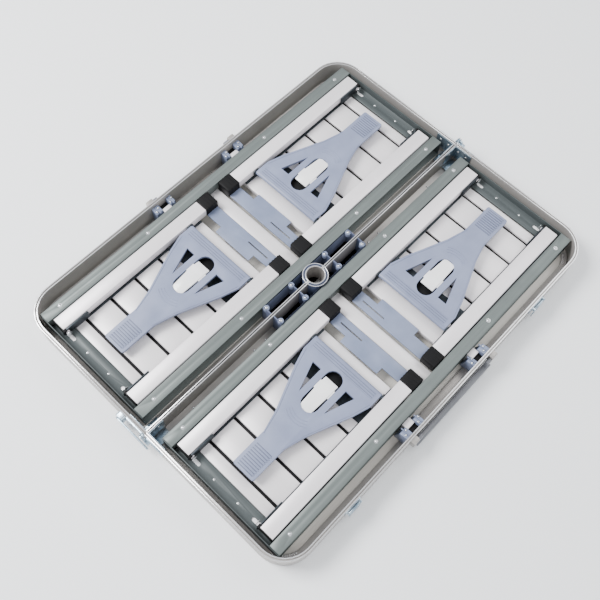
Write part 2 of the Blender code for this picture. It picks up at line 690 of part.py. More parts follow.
def leg_tube(side):
    """One leg tube with the pin and head that turn in the seat's lug."""
    faces = sorted((side * LEG_FACE, side * LEG_OUTER_FACE))
    bar = ((LEG_INNER_END, faces[0], LEG_TOP - LEG_DEPTH), (LEG_OUTER_END, faces[1], LEG_TOP))
    tube = hollow_bars([bar], 0, TUBE_WALL, 0.002)
    head_face = LUG_IN - TOUCH
    pin = rod((LINK_PIVOT_X, side * (head_face - 0.0005), LEG_PIVOT_Z),
              (LINK_PIVOT_X, side * (LEG_FACE + TUBE_WALL * 0.7), LEG_PIVOT_Z), PIVOT_RADIUS, 12)
    head = rod((LINK_PIVOT_X, side * head_face, LEG_PIVOT_Z),
               (LINK_PIVOT_X, side * (head_face - 0.0018), LEG_PIVOT_Z), LEG_PIVOT_HEAD, 12,
               LEG_PIVOT_HEAD * 0.6)
    return take_mesh(join(tube, pin, head))


def foot_moulding(seam_side):
    """Caps on both leg tubes and the stepped tie between them, slit in its seam half."""
    reach = LEG_FACE - FOOT_GROWTH + BITE
    outline = [(TIE_START, -reach), (TIE_STEP, -reach), (TIE_STEP, -TIE_TONGUE),
               (TIE_END, -TIE_TONGUE), (TIE_END, TIE_TONGUE), (TIE_STEP, TIE_TONGUE),
               (TIE_STEP, reach), (TIE_START, reach)]
    slit_x = (TIE_START + TIE_STEP) / 2
    ends = sorted((seam_side * (TIE_SLIT_CENTRE - TIE_SLIT_LENGTH / 2),
                   seam_side * (TIE_SLIT_CENTRE + TIE_SLIT_LENGTH / 2)))
    half = TIE_SLIT_WIDTH / 2
    slit = [(slit_x - half, ends[0]), (slit_x + half, ends[0]),
            (slit_x + half, ends[1]), (slit_x - half, ends[1])]
    low = LEG_TOP - LEG_DEPTH - TOUCH
    tie = plate([outline, slit], low, low + TIE_THICKNESS)
    caps = []
    for side in (1, -1):
        faces = sorted((side * (LEG_FACE - FOOT_GROWTH), side * (LEG_OUTER_FACE + FOOT_GROWTH)))
        caps.append(block((FOOT_TIP, faces[0], low - 2 * FOOT_GROWTH),
                          (LEG_INNER_END - TOUCH, faces[1], LEG_TOP + FOOT_GROWTH), 0, 0.0025, 2))
    return take_mesh(join(tie, *caps))


def brace():
    """Triangular plastic brace: plate with slot and windows, barrel, pivot pins."""
    low = BRACE_TOP - BRACE_THICKNESS
    corners = [(BRACE_PIVOT_X, BRACE_HALF), (BRACE_SHOULDER[0], BRACE_HALF), BRACE_FLANK,
               BRACE_NECK, BRACE_ARM]
    tip = []
    for side in (1, -1):
        centre = (BRACE_TIP - BRACE_TIP_ROUND, side * (BRACE_ARM[1] - BRACE_TIP_ROUND))
        start = 90 if side > 0 else 0
        tip += arc(centre, BRACE_TIP_ROUND, start, start - 90, 4)
    outline = corners + tip + [(x, -y) for x, y in reversed(corners)]
    start = BRACE_SLOT[0] + BRACE_SLOT_HALF
    end = BRACE_SLOT[1] - BRACE_SLOT_HALF
    slot = arc((start, 0), BRACE_SLOT_HALF, 90, 270, 8) + arc((end, 0), BRACE_SLOT_HALF, -90, 90, 8)
    windows = [[(x, side * y) for x, y in BRACE_WINDOW] for side in (1, -1)]
    body = plate([outline, slot] + windows, low, BRACE_TOP)
    barrel = rod((BRACE_PIVOT_X, -BRACE_HALF, BRACE_PIVOT_Z),
                 (BRACE_PIVOT_X, BRACE_HALF, BRACE_PIVOT_Z), BRACE_BARREL, 12)
    pins = []
    sockets = []
    for side in (1, -1):
        pins.append(rod((BRACE_PIVOT_X, side * (BRACE_HALF - 0.003), BRACE_PIVOT_Z),
                        (BRACE_PIVOT_X, side * (LUG_OUT + 2 * TOUCH), BRACE_PIVOT_Z), BRACE_PIN, 12))
        z = BRACE_TOP - BRACE_THICKNESS / 2
        sockets.append(rod((ROCKER_PIVOT_X, side * (BRACE_SLOT_HALF - 0.002), z),
                           (ROCKER_PIVOT_X, side * (BRACE_SLOT_HALF + 0.003), z),
                           ROCKER_PIN + PIVOT_PLAY, 10))
    return take_mesh(cut(join(body, barrel, *pins), *sockets))


def brace_latch():
    """Rocker in the brace's slot, turning on two short pins."""
    end = BRACE_SLOT[1] - ROCKER_END_GAP
    high = BRACE_TOP + ROCKER_RISE
    low = high - ROCKER_THICKNESS
    bar = block((ROCKER_START, -ROCKER_HALF, low), (end, ROCKER_HALF, high), 2,
                ROCKER_HALF * 0.98, 6, lambda co: co.x > ROCKER_PIVOT_X)
    ear_half = BRACE_SLOT_HALF - PIVOT_PLAY
    ears = block((ROCKER_EARS[0], -ear_half, low + 0.001), (ROCKER_EARS[1], ear_half, high - 0.001))
    z = BRACE_TOP - BRACE_THICKNESS / 2
    pin_reach = BRACE_SLOT_HALF + 0.002
    pins = rod((ROCKER_PIVOT_X, -pin_reach, z), (ROCKER_PIVOT_X, pin_reach, z), ROCKER_PIN, 10)
    return take_mesh(join(bar, ears, pins))


def hinge_leaves(side):
    """Case hinge leaves at both seam ends; side +1 is the rear tray's, -1 the front's."""
    leaves = []
    wall = HALF_LENGTH - BITE
    knuckle_start = HALF_LENGTH + TOUCH
    if side < 0:
        knuckle_start += KNUCKLE_LENGTH + TOUCH
    knuckle_end = knuckle_start + KNUCKLE_LENGTH
    tab_start = knuckle_start + KNUCKLE_STEP
    tab_end = knuckle_end - KNUCKLE_STEP
    near = 0.001 if side > 0 else KNUCKLE_CLEAR

    def leaf_block(sign, x_run, y_run, z_run):
        xs = sorted(sign * x for x in x_run)
        ys = sorted(side * y for y in y_run)
        return block((xs[0], ys[0], z_run[0]), (xs[1], ys[1], z_run[1]))

    for sign in (1, -1):
        leaf = leaf_block(sign, (wall, HALF_LENGTH + TOUCH + LEAF_THICKNESS), (near, LEAF_LENGTH),
                          (LEAF_LOW, LEAF_HIGH))
        pieces = [rod((sign * knuckle_start, 0, RIM_HEIGHT), (sign * knuckle_end, 0, RIM_HEIGHT),
                      KNUCKLE_RADIUS, 16)]
        if side < 0:
            pieces.append(leaf_block(sign, (wall, tab_end), (near, near + LEAF_TAB),
                                     (LEAF_HIGH - LEAF_TAB_HEIGHT, LEAF_HIGH)))
            pieces.append(leaf_block(sign, (tab_start, tab_end), (0, near + LEAF_LINK),
                                     (RIM_HEIGHT - KNUCKLE_RADIUS * 0.8,
                                      RIM_HEIGHT + KNUCKLE_RADIUS * 0.5)))
        bore = rod((sign * (knuckle_start - 0.002), 0, RIM_HEIGHT),
                   (sign * (knuckle_end + 0.002), 0, RIM_HEIGHT), HINGE_PIN_RADIUS + PIVOT_PLAY, 10)
        leaves.append(cut(join(leaf, *pieces), bore))
    return leaves


def lock_pad():
    """Pad on the rear tray's left end that the lock bar pivots on."""
    half = LOCK_PAD / 2
    outer = HALF_LENGTH + 2 * (TOUCH + KNUCKLE_LENGTH)
    pad = block((-outer, LOCK_PIVOT_Y - half, LOCK_PIVOT_Z - half),
                (BITE - HALF_LENGTH, LOCK_PIVOT_Y + half, LOCK_PIVOT_Z + half), 0, 0.004, 3)
    hole = rod((-outer - 0.002, LOCK_PIVOT_Y, LOCK_PIVOT_Z),
               (-HALF_LENGTH - 0.002, LOCK_PIVOT_Y, LOCK_PIVOT_Z), PIVOT_RADIUS + PIVOT_PLAY, 12)
    return cut(pad, hole)


def hinge_pin(sign):
    """Pin through one end's pair of hinge knuckles; the end without lock bar has a head."""
    start = HALF_LENGTH + 2 * TOUCH
    end = HALF_LENGTH + 2 * (KNUCKLE_LENGTH + TOUCH)
    if sign < 0:
        return take_mesh(rod((-start, 0, RIM_HEIGHT), (-end, 0, RIM_HEIGHT), HINGE_PIN_RADIUS, 10))
    pin = rod((start, 0, RIM_HEIGHT), (LOCK_FACE + BITE, 0, RIM_HEIGHT), HINGE_PIN_RADIUS, 10)
    head = rod((end + TOUCH, 0, RIM_HEIGHT), (LOCK_FACE + LOCK_THICKNESS, 0, RIM_HEIGHT),
               HINGE_PIN_HEAD, 12)
    return take_mesh(join(pin, head))


def lock_bar():
    """Flat bar outside the left end, pivoted on the rear tray and reaching past the seam."""
    inner = -LOCK_FACE
    end_y = LOCK_PIVOT_Y + LOCK_HEIGHT / 2
    bar = block((inner - LOCK_THICKNESS, end_y - LOCK_LENGTH, LOCK_PIVOT_Z - LOCK_HEIGHT / 2),
                (inner, end_y, LOCK_PIVOT_Z + LOCK_HEIGHT / 2), 0, LOCK_HEIGHT * 0.49, 4)
    pin = rod((inner - LOCK_THICKNESS / 2, LOCK_PIVOT_Y, LOCK_PIVOT_Z),
              (-(HALF_LENGTH + 0.003), LOCK_PIVOT_Y, LOCK_PIVOT_Z), PIVOT_RADIUS, 12)
    return take_mesh(join(bar, pin))


def latch_bases():
    """Plates on the front wall, each with two ears for a latch lever."""
    bases = []
    wall = BITE - TRAY_WIDTH
    outer = -TRAY_WIDTH - LATCH_PLATE
    for x in LATCH_X:
        half = LATCH_WIDTH / 2
        base = block((x - half, outer, LATCH_BASE_LOW), (x + half, wall, LATCH_BASE_HIGH), 1,
                     0.003, 2)
        ears = []
        holes = []
        for side in (1, -1):
            ends = sorted((x + side * (LATCH_BARREL_HALF + TOUCH),
                           x + side * (LATCH_BARREL_HALF + TOUCH + LATCH_EAR)))
            ears.append(block((ends[0], LATCH_AXIS_Y - LATCH_BARREL, LATCH_AXIS_Z - 0.0035),
                              (ends[1], wall, LATCH_AXIS_Z + 0.0035)))
            holes.append(rod((ends[0] - 0.001, LATCH_AXIS_Y, LATCH_AXIS_Z),
                             (ends[1] + 0.001, LATCH_AXIS_Y, LATCH_AXIS_Z),
                             LATCH_PIN + PIVOT_PLAY, 10))
        bases.append(cut(join(base, *ears), *holes))
    return bases


def latch_lever(x):
    """Draw latch lever: barrel with pins, hanging plate and a short hook above."""
    barrel = rod((x - LATCH_BARREL_HALF, LATCH_AXIS_Y, LATCH_AXIS_Z),
                 (x + LATCH_BARREL_HALF, LATCH_AXIS_Y, LATCH_AXIS_Z), LATCH_BARREL, 12)
    reach = LATCH_BARREL_HALF + LATCH_EAR * 0.8
    pins = rod((x - reach, LATCH_AXIS_Y, LATCH_AXIS_Z), (x + reach, LATCH_AXIS_Y, LATCH_AXIS_Z),
               LATCH_PIN, 10)
    outer = LATCH_AXIS_Y - LATCH_BARREL
    plate_block = block((x - LATCH_BARREL_HALF, outer, LATCH_LOW),
                        (x + LATCH_BARREL_HALF, outer + LATCH_PLATE, LATCH_AXIS_Z), 1, 0.004, 2,
                        lambda co: co.z < LATCH_AXIS_Z - LATCH_BARREL)
    hook = block((x - LATCH_BARREL_HALF / 2, outer, LATCH_AXIS_Z),
                 (x + LATCH_BARREL_HALF / 2, outer + LATCH_PLATE,
                  LATCH_AXIS_Z + LATCH_HOOK_RISE))
    return take_mesh(join(barrel, pins, plate_block, hook))


class Assembly:
    """Places the pieces in the object's collection, under empties on the joint axes."""

    def __init__(self, collection):
        self.collection = collection
        self.places = {}

    def pivot(self, name, place, parent=None):
        """Adds an empty on a joint's axis."""
        empty = bpy.data.objects.new(name, None)
        empty.empty_display_size = 0.02
        start = self.places[parent.name] if parent else Vector((0, 0, 0))
        empty.parent = parent
        empty.location = Vector(place) - start
        self.places[name] = Vector(place)
        self.collection.objects.link(empty)
        return empty

    def piece(self, name, mesh, material, pivot=None, turn=None):
        """Adds a node that shows a mesh, turned into place and held by a pivot."""
        item = bpy.data.objects.new(name, mesh)
        if turn is not None:
            item.matrix_basis = turn
        if pivot is not None:
            item.parent = pivot
            item.matrix_parent_inverse = Matrix.Translation(-self.places[pivot.name])
        if not mesh.materials:
            mesh.materials.append(material)
            mesh.shade_smooth()
            mesh.set_sharp_from_angle(angle=math.radians(30))
        self.collection.objects.link(item)
        return item


def build():
    """Builds every piece and places it."""
    clear_scene()
    assembly = Assembly(make_collection(COLLECTION))
    aluminium = make_material("aluminium", (0.42, 0.41, 0.40), 0.4, 0.9)
    frame_paint = make_material("frame_aluminium", (0.30, 0.35, 0.35), 0.4, 0.8)
    slat_metal = make_material("slat_aluminium", (0.72, 0.70, 0.71), 0.35, 0.7)
    steel = make_material("dark_steel", (0.06, 0.065, 0.07), 0.45, 0.8)
    zinc = make_material("zinc_steel", (0.40, 0.45, 0.50), 0.3, 0.9)
    brace_plastic = make_material("brace_plastic", (0.36, 0.40, 0.45), 0.5, 0.0)
    blue_plastic = make_material("blue_grey_plastic", (0.10, 0.12, 0.18), 0.5, 0.0)
    black_plastic = make_material("black_plastic", (0.02, 0.02, 0.025), 0.5, 0.0)
    white_plastic = make_material("white_plastic", (0.75, 0.75, 0.75), 0.4, 0.0)
    board = make_material("tabletop_board", (0.56, 0.54, 0.50), 0.5, 0.1)

    fold = assembly.pivot("case_fold", (0, 0, RIM_HEIGHT))
    plates = {1: end_plate(1), -1: end_plate(-1)}
    tray_pieces = [
        ("tabletop_panel", tabletop_panel(), board),
        ("seam_wall", seam_wall(), aluminium),
        ("outer_rail", frame_rail(1), frame_paint),
        ("inner_rail", frame_rail(-1), frame_paint),
        ("centre_tube", centre_tube(), slat_metal),
        ("seam_housing", seam_housing(), blue_plastic),
        ("handle_bracket", handle_bracket(), blue_plastic),
    ]
    unit_pieces = {
        "link_frame": (link_frame(), steel),
        "seat_slats": (seat_slats(), slat_metal),
        "seat_frame": (seat_frame(), steel),
        "brace": (brace(), brace_plastic),
        "brace_latch": (brace_latch(), white_plastic),
    }
    tubes = {side: leg_tube(side) for side in (1, -1)}
    feet = {side: foot_moulding(side) for side in (1, -1)}
    handle = carry_handle()

    for tray, sign in (("rear", 1), ("front", -1)):
        tray_pivot = None if tray == "rear" else fold
        turn = None if tray == "rear" else HALF_TURN
        for name, mesh, material in tray_pieces:
            assembly.piece(f"{tray}_{name}", mesh, material, tray_pivot, turn)
        assembly.piece(f"{tray}_rim", tray_rim(sign), aluminium, tray_pivot)
        handle_pivot = assembly.pivot(f"{tray}_handle_axis",
                                      (0, sign * HANDLE_AXIS_Y, HANDLE_AXIS_Z), tray_pivot)
        assembly.piece(f"{tray}_handle", handle, blue_plastic, handle_pivot, turn)
        for end, way in (("right", 1), ("left", -1)):
            unit = f"{tray}_{end}"
            assembly.piece(f"{unit}_end_plate", plates[sign * way], steel, tray_pivot, turn)
            place = Matrix.Translation((way * UNIT_START, sign * UNIT_CENTRE, 0))
            if way < 0:
                place = place @ HALF_TURN
            middle = sign * UNIT_CENTRE
            link_x, seat_x, brace_x, rocker_x = (
                way * (UNIT_START + x)
                for x in (LINK_PIVOT_X, SEAT_PIVOT_X, BRACE_PIVOT_X, ROCKER_PIVOT_X))
            link = assembly.pivot(f"{unit}_link_axis", (link_x, middle, LINK_Z), tray_pivot)
            seat = assembly.pivot(f"{unit}_seat_axis", (seat_x, middle, LINK_Z), link)
            leg = assembly.pivot(f"{unit}_leg_axis", (link_x, middle, LEG_PIVOT_Z), seat)
            swing = assembly.pivot(f"{unit}_brace_axis", (brace_x, middle, BRACE_PIVOT_Z), seat)
            rocker = assembly.pivot(f"{unit}_latch_axis",
                                    (rocker_x, middle, BRACE_TOP - BRACE_THICKNESS / 2), swing)
            holders = {"link_frame": link, "seat_slats": seat, "seat_frame": seat,
                       "brace": swing, "brace_latch": rocker}
            for name, (mesh, material) in unit_pieces.items():
                assembly.piece(f"{unit}_{name}", mesh, material, holders[name], place)
            outward = sign * way
            assembly.piece(f"{unit}_outer_leg_tube", tubes[outward], slat_metal, leg, place)
            assembly.piece(f"{unit}_inner_leg_tube", tubes[-outward], slat_metal, leg, place)
            assembly.piece(f"{unit}_foot_moulding", feet[-outward], black_plastic, leg, place)

    for end, way in (("right", 1), ("left", -1)):
        assembly.piece(f"{end}_hinge_pin", hinge_pin(way), steel)
    lock_pivot = assembly.pivot("lock_bar_axis", (-HALF_LENGTH, LOCK_PIVOT_Y, LOCK_PIVOT_Z))
    assembly.piece("lock_bar", lock_bar(), zinc, lock_pivot)
    for end, x in zip(("left", "right"), LATCH_X):
        axis = assembly.pivot(f"{end}_latch_lever_axis", (x, LATCH_AXIS_Y, LATCH_AXIS_Z), fold)
        assembly.piece(f"{end}_latch_lever", latch_lever(x), zinc, axis)
    bpy.context.view_layer.update()


build()
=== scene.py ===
import json
import math

import bpy
from mathutils import Matrix, Vector


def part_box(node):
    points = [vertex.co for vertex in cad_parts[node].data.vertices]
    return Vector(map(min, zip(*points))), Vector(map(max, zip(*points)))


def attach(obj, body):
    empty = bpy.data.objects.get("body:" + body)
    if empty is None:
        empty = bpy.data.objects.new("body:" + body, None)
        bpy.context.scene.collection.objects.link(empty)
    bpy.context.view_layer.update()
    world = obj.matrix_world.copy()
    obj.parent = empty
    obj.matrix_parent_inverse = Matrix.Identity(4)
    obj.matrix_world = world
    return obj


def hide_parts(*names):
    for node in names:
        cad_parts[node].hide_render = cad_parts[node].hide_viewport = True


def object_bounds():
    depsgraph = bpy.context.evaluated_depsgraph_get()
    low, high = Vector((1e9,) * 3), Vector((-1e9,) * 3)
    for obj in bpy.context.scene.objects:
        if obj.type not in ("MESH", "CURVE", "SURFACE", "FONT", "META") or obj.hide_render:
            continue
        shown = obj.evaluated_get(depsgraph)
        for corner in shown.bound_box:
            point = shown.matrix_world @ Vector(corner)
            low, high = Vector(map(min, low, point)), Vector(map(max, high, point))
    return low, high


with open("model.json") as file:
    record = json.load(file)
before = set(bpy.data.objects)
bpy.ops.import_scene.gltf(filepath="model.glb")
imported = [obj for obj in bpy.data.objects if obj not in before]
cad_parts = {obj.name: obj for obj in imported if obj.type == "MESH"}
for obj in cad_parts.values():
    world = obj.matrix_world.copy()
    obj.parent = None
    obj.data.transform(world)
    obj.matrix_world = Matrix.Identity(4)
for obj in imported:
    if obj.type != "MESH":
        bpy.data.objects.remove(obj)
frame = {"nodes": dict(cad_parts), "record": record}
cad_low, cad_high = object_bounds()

# ---------------------------------------------------------------- places, from the frame
JOINTS = {joint["name"]: joint for joint in frame["record"]["behaviour"]["joints"]}
BODY_OF = {node: body for body, nodes in frame["record"]["behaviour"]["bodies"].items()
           for node in nodes}

TRAYS = (("rear", 1), ("front", -1))
ENDS = (("right", 1), ("left", -1))

HALF_TURN = Matrix.Rotation(math.pi, 4, "Z")

# Sizes in metres
RAIL_RIVET_X = (0.1587, 0.373)
RIVET_HEAD = 0.0042
RIVET_RISE = 0.0016
SCREW_HEAD = 0.0026
SMALL_RIVET = 0.0024
SMALL_RISE = 0.0012
EDGE_ROUND = 0.0004       # edges of metal sections
MOULD_ROUND = 0.0008      # edges of mouldings
SLIP = 0.0003             # small step or gap between neighbouring faces
STRIP_DROP = 0.0045       # seat's black gap strips below the slats' faces
RIB_COUNT = 9
RIB_PITCH = 0.0052
RIB_RISE = 0.0013
RIDGE_COUNT = 4

# The rim's inner and outer faces, from the panel that fits inside it
PANEL_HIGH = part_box("rear_tabletop_panel")[1]
WALL_IN = PANEL_HIGH[0] + SLIP
RIM_WALL = 0.0065
HALF_LENGTH = WALL_IN + RIM_WALL
HALF_WIDTH = PANEL_HIGH[1] + SLIP + RIM_WALL

# Which of the rim's faces get another finish
LEVEL = 0.7               # upward part of a normal, above which a face counts as level
FITTING_STEP = 0.0002     # faces this far outside the rim belong to its fittings
LATCH_FROM = 0.20         # the side's fittings beyond this x are latch bases


def joint_place(name):
    """A joint's point at rest."""
    return Vector(JOINTS[name]["pos_m"])


# ---------------------------------------------------------------- materials
def linear(code):
    """Turns an sRGB hex colour into linear values with alpha."""
    channels = [int(code[i:i + 2], 16) / 255 for i in (1, 3, 5)]
    values = [c / 12.92 if c <= 0.04045 else ((c + 0.055) / 1.055) ** 2.4 for c in channels]
    return (*values, 1.0)


def add_node(tree, kind, settings=None, inputs=None, links=None):
    """Adds a node with its settings and input values, and links its inputs."""
    item = tree.nodes.new(kind)
    for name, value in (settings or {}).items():
        setattr(item, name, value)
    for name, value in (inputs or {}).items():
        item.inputs[name].default_value = value
    for name, source in (links or {}).items():
        tree.links.new(source, item.inputs[name])
    return item


def start_material(name, metallic, roughness, **fixed):
    """Makes a material and gives its tree and its Principled shader."""
    material = bpy.data.materials.new(name)
    material.use_nodes = True
    tree = material.node_tree
    shader = tree.nodes["Principled BSDF"]
    shader.inputs["Metallic"].default_value = metallic
    shader.inputs["Roughness"].default_value = roughness
    for socket, value in fixed.items():
        shader.inputs[socket.replace("_", " ")].default_value = value
    return material, tree, shader


# Pattern sizes, in cells or lines per metre
DRAWN_LINES = 900.0       # lines 1.1 mm apart, coarser than real ones so that they show
POLISH_LINES = 600.0      # lines 1.7 mm apart, likewise
LINE_STRETCH = 90         # how much longer than wide each line is
HANDLING = 14.0           # handling marks about 70 mm across
SPANGLE = 260.0           # zinc crystals about 4 mm across
TARNISH = 30.0            # dull patches about 33 mm across
FLOW = 22.0               # flow clouds about 45 mm across
SPARK_GRAIN = 1400.0      # spark-eroded grain of 0.7 mm, coarser than real so that it shows
COARSE_GRAIN = 900.0      # the same at 1.1 mm
GLOSS_GRAIN = 600.0       # slight waviness of a gloss face, 1.7 mm
PEBBLE = 700.0            # laminate's pebble, 1.4 mm
STAINS = 9.0              # stains about 110 mm across
SCUFFS = (14, 240, 14)    # scuffs about 70 mm long and 4 mm apart


def link_shader(tree, shader, colour, gloss, bump):
    """Links a colour mix, a roughness range and a bump into a shader."""
    tree.links.new(colour.outputs["Result"], shader.inputs["Base Color"])
    tree.links.new(gloss.outputs["Result"], shader.inputs["Roughness"])
    tree.links.new(bump.outputs["Normal"], shader.inputs["Normal"])


def brushed_metal(name, dark, light, grain, metallic=0.85, rough=(0.28, 0.42),
                  lines=DRAWN_LINES):
    """Drawn or brushed metal: fine lines along one axis, cloudy handling marks over them.

    lines is the number of grain lines per metre; grain is the axis that they run along.
    """
    material, tree, shader = start_material(name, metallic, rough[0])
    stretch = [lines, lines, lines]
    stretch[grain] = lines / LINE_STRETCH
    place = add_node(tree, "ShaderNodeTexCoord").outputs["Object"]
    drawn = add_node(tree, "ShaderNodeMapping", inputs={"Scale": stretch},
                     links={"Vector": place})
    streaks = add_node(tree, "ShaderNodeTexNoise",
                       inputs={"Scale": 1.0, "Detail": 3.0, "Roughness": 0.6},
                       links={"Vector": drawn.outputs["Vector"]}).outputs["Fac"]
    clouds = add_node(tree, "ShaderNodeTexNoise",
                      inputs={"Scale": HANDLING, "Detail": 4.0, "Roughness": 0.55},
                      links={"Vector": place}).outputs["Fac"]
    marks = add_node(tree, "ShaderNodeMapRange",
                     inputs={"From Min": 0.3, "From Max": 0.7, "To Min": 0.0, "To Max": 0.4},
                     links={"Value": clouds}).outputs["Result"]
    tone = add_node(tree, "ShaderNodeMath", {"operation": "MULTIPLY_ADD"}, {1: 0.6},
                    {0: streaks, 2: marks}).outputs[0]
    colour = add_node(tree, "ShaderNodeMix", {"data_type": "RGBA"},
                      {"A": linear(dark), "B": linear(light)}, {"Factor": tone})
    gloss = add_node(tree, "ShaderNodeMapRange",
                     inputs={"From Min": 0.2, "From Max": 0.8,
                             "To Min": rough[1], "To Max": rough[0]},
                     links={"Value": tone})
    bump = add_node(tree, "ShaderNodeBump", inputs={"Strength": 0.10, "Distance": 0.0004},
                    links={"Height": streaks})
    link_shader(tree, shader, colour, gloss, bump)
    return material


def zinc_plate(name, dark, light, rough=(0.22, 0.45)):
    """Zinc-plated steel: bluish spangle cells a few millimetres across."""
    material, tree, shader = start_material(name, 0.9, rough[0])
    place = add_node(tree, "ShaderNodeTexCoord").outputs["Object"]
    cells = add_node(tree, "ShaderNodeTexVoronoi", {"feature": "F1"}, {"Scale": SPANGLE},
                     {"Vector": place})
    spangle = add_node(tree, "ShaderNodeSeparateColor", links={"Color": cells.outputs["Color"]})
    clouds = add_node(tree, "ShaderNodeTexNoise",
                      inputs={"Scale": TARNISH, "Detail": 4.0, "Roughness": 0.6},
                      links={"Vector": place}).outputs["Fac"]
    haze = add_node(tree, "ShaderNodeMapRange",
                    inputs={"From Min": 0.3, "From Max": 0.7, "To Min": 0.0, "To Max": 0.65},
                    links={"Value": clouds}).outputs["Result"]
    tone = add_node(tree, "ShaderNodeMath", {"operation": "MULTIPLY_ADD"}, {1: 0.35},
                    {0: spangle.outputs["Red"], 2: haze}).outputs[0]
    colour = add_node(tree, "ShaderNodeMix", {"data_type": "RGBA"},
                      {"A": linear(dark), "B": linear(light)}, {"Factor": tone})
    gloss = add_node(tree, "ShaderNodeMapRange",
                     inputs={"From Min": 0.0, "From Max": 1.0,
                             "To Min": rough[1], "To Max": rough[0]},
                     links={"Value": tone})
    bump = add_node(tree, "ShaderNodeBump", inputs={"Strength": 0.08, "Distance": 0.0006},
                    links={"Height": clouds})
    link_shader(tree, shader, colour, gloss, bump)
    return material


def moulded_plastic(name, dark, light, rough=(0.38, 0.52), grain=SPARK_GRAIN, relief=0.12,
                    coat=0.0, shine=0.5):
    """Injection-moulded plastic: a fine spark-eroded grain and faint flow clouds."""
    material, tree, shader = start_material(name, 0.0, rough[0], IOR=1.5, Coat_Weight=coat,
                                            Specular_IOR_Level=shine)
    place = add_node(tree, "ShaderNodeTexCoord").outputs["Object"]
    fine = add_node(tree, "ShaderNodeTexNoise",
                    inputs={"Scale": grain, "Detail": 2.0, "Roughness": 0.5},
                    links={"Vector": place}).outputs["Fac"]
    flow = add_node(tree, "ShaderNodeTexNoise",
                    inputs={"Scale": FLOW, "Detail": 3.0, "Roughness": 0.5},
                    links={"Vector": place}).outputs["Fac"]
    tone = add_node(tree, "ShaderNodeMapRange",
                    inputs={"From Min": 0.3, "From Max": 0.7, "To Min": 0.0, "To Max": 1.0},
                    links={"Value": flow}).outputs["Result"]
    colour = add_node(tree, "ShaderNodeMix", {"data_type": "RGBA"},
                      {"A": linear(dark), "B": linear(light)}, {"Factor": tone})
    gloss = add_node(tree, "ShaderNodeMapRange",
                     inputs={"From Min": 0.3, "From Max": 0.7,
                             "To Min": rough[0], "To Max": rough[1]},
                     links={"Value": flow})
    bump = add_node(tree, "ShaderNodeBump", inputs={"Strength": relief, "Distance": 0.0003},
                    links={"Height": fine})
    link_shader(tree, shader, colour, gloss, bump)
    return material


def laminated_board(name, dark, light):
    """Melamine-faced board, pale warm grey with a fine pebble and faint scuffs."""
    material, tree, shader = start_material(name, 0.15, 0.42)
    place = add_node(tree, "ShaderNodeTexCoord").outputs["Object"]
    pebble = add_node(tree, "ShaderNodeTexNoise",
                      inputs={"Scale": PEBBLE, "Detail": 3.0, "Roughness": 0.6},
                      links={"Vector": place}).outputs["Fac"]
    stains = add_node(tree, "ShaderNodeTexNoise",
                      inputs={"Scale": STAINS, "Detail": 5.0, "Roughness": 0.55},
                      links={"Vector": place}).outputs["Fac"]
    along = add_node(tree, "ShaderNodeMapping", inputs={"Scale": SCUFFS},
                     links={"Vector": place})
    scuffs = add_node(tree, "ShaderNodeTexNoise",
                      inputs={"Scale": 1.0, "Detail": 5.0, "Roughness": 0.7},
                      links={"Vector": along.outputs["Vector"]}).outputs["Fac"]
    worn = add_node(tree, "ShaderNodeMapRange",
                    inputs={"From Min": 0.35, "From Max": 0.65, "To Min": 0.0, "To Max": 0.5},
                    links={"Value": scuffs}).outputs["Result"]
    tone = add_node(tree, "ShaderNodeMath", {"operation": "MULTIPLY_ADD"}, {1: 0.5},
                    {0: stains, 2: worn}).outputs[0]
    colour = add_node(tree, "ShaderNodeMix", {"data_type": "RGBA"},
                      {"A": linear(dark), "B": linear(light)}, {"Factor": tone})
    gloss = add_node(tree, "ShaderNodeMapRange",
                     inputs={"From Min": 0.3, "From Max": 0.7, "To Min": 0.36, "To Max": 0.5},
                     links={"Value": scuffs})
    bump = add_node(tree, "ShaderNodeBump", inputs={"Strength": 0.06, "Distance": 0.0003},
                    links={"Height": pebble})
    link_shader(tree, shader, colour, gloss, bump)
    return material


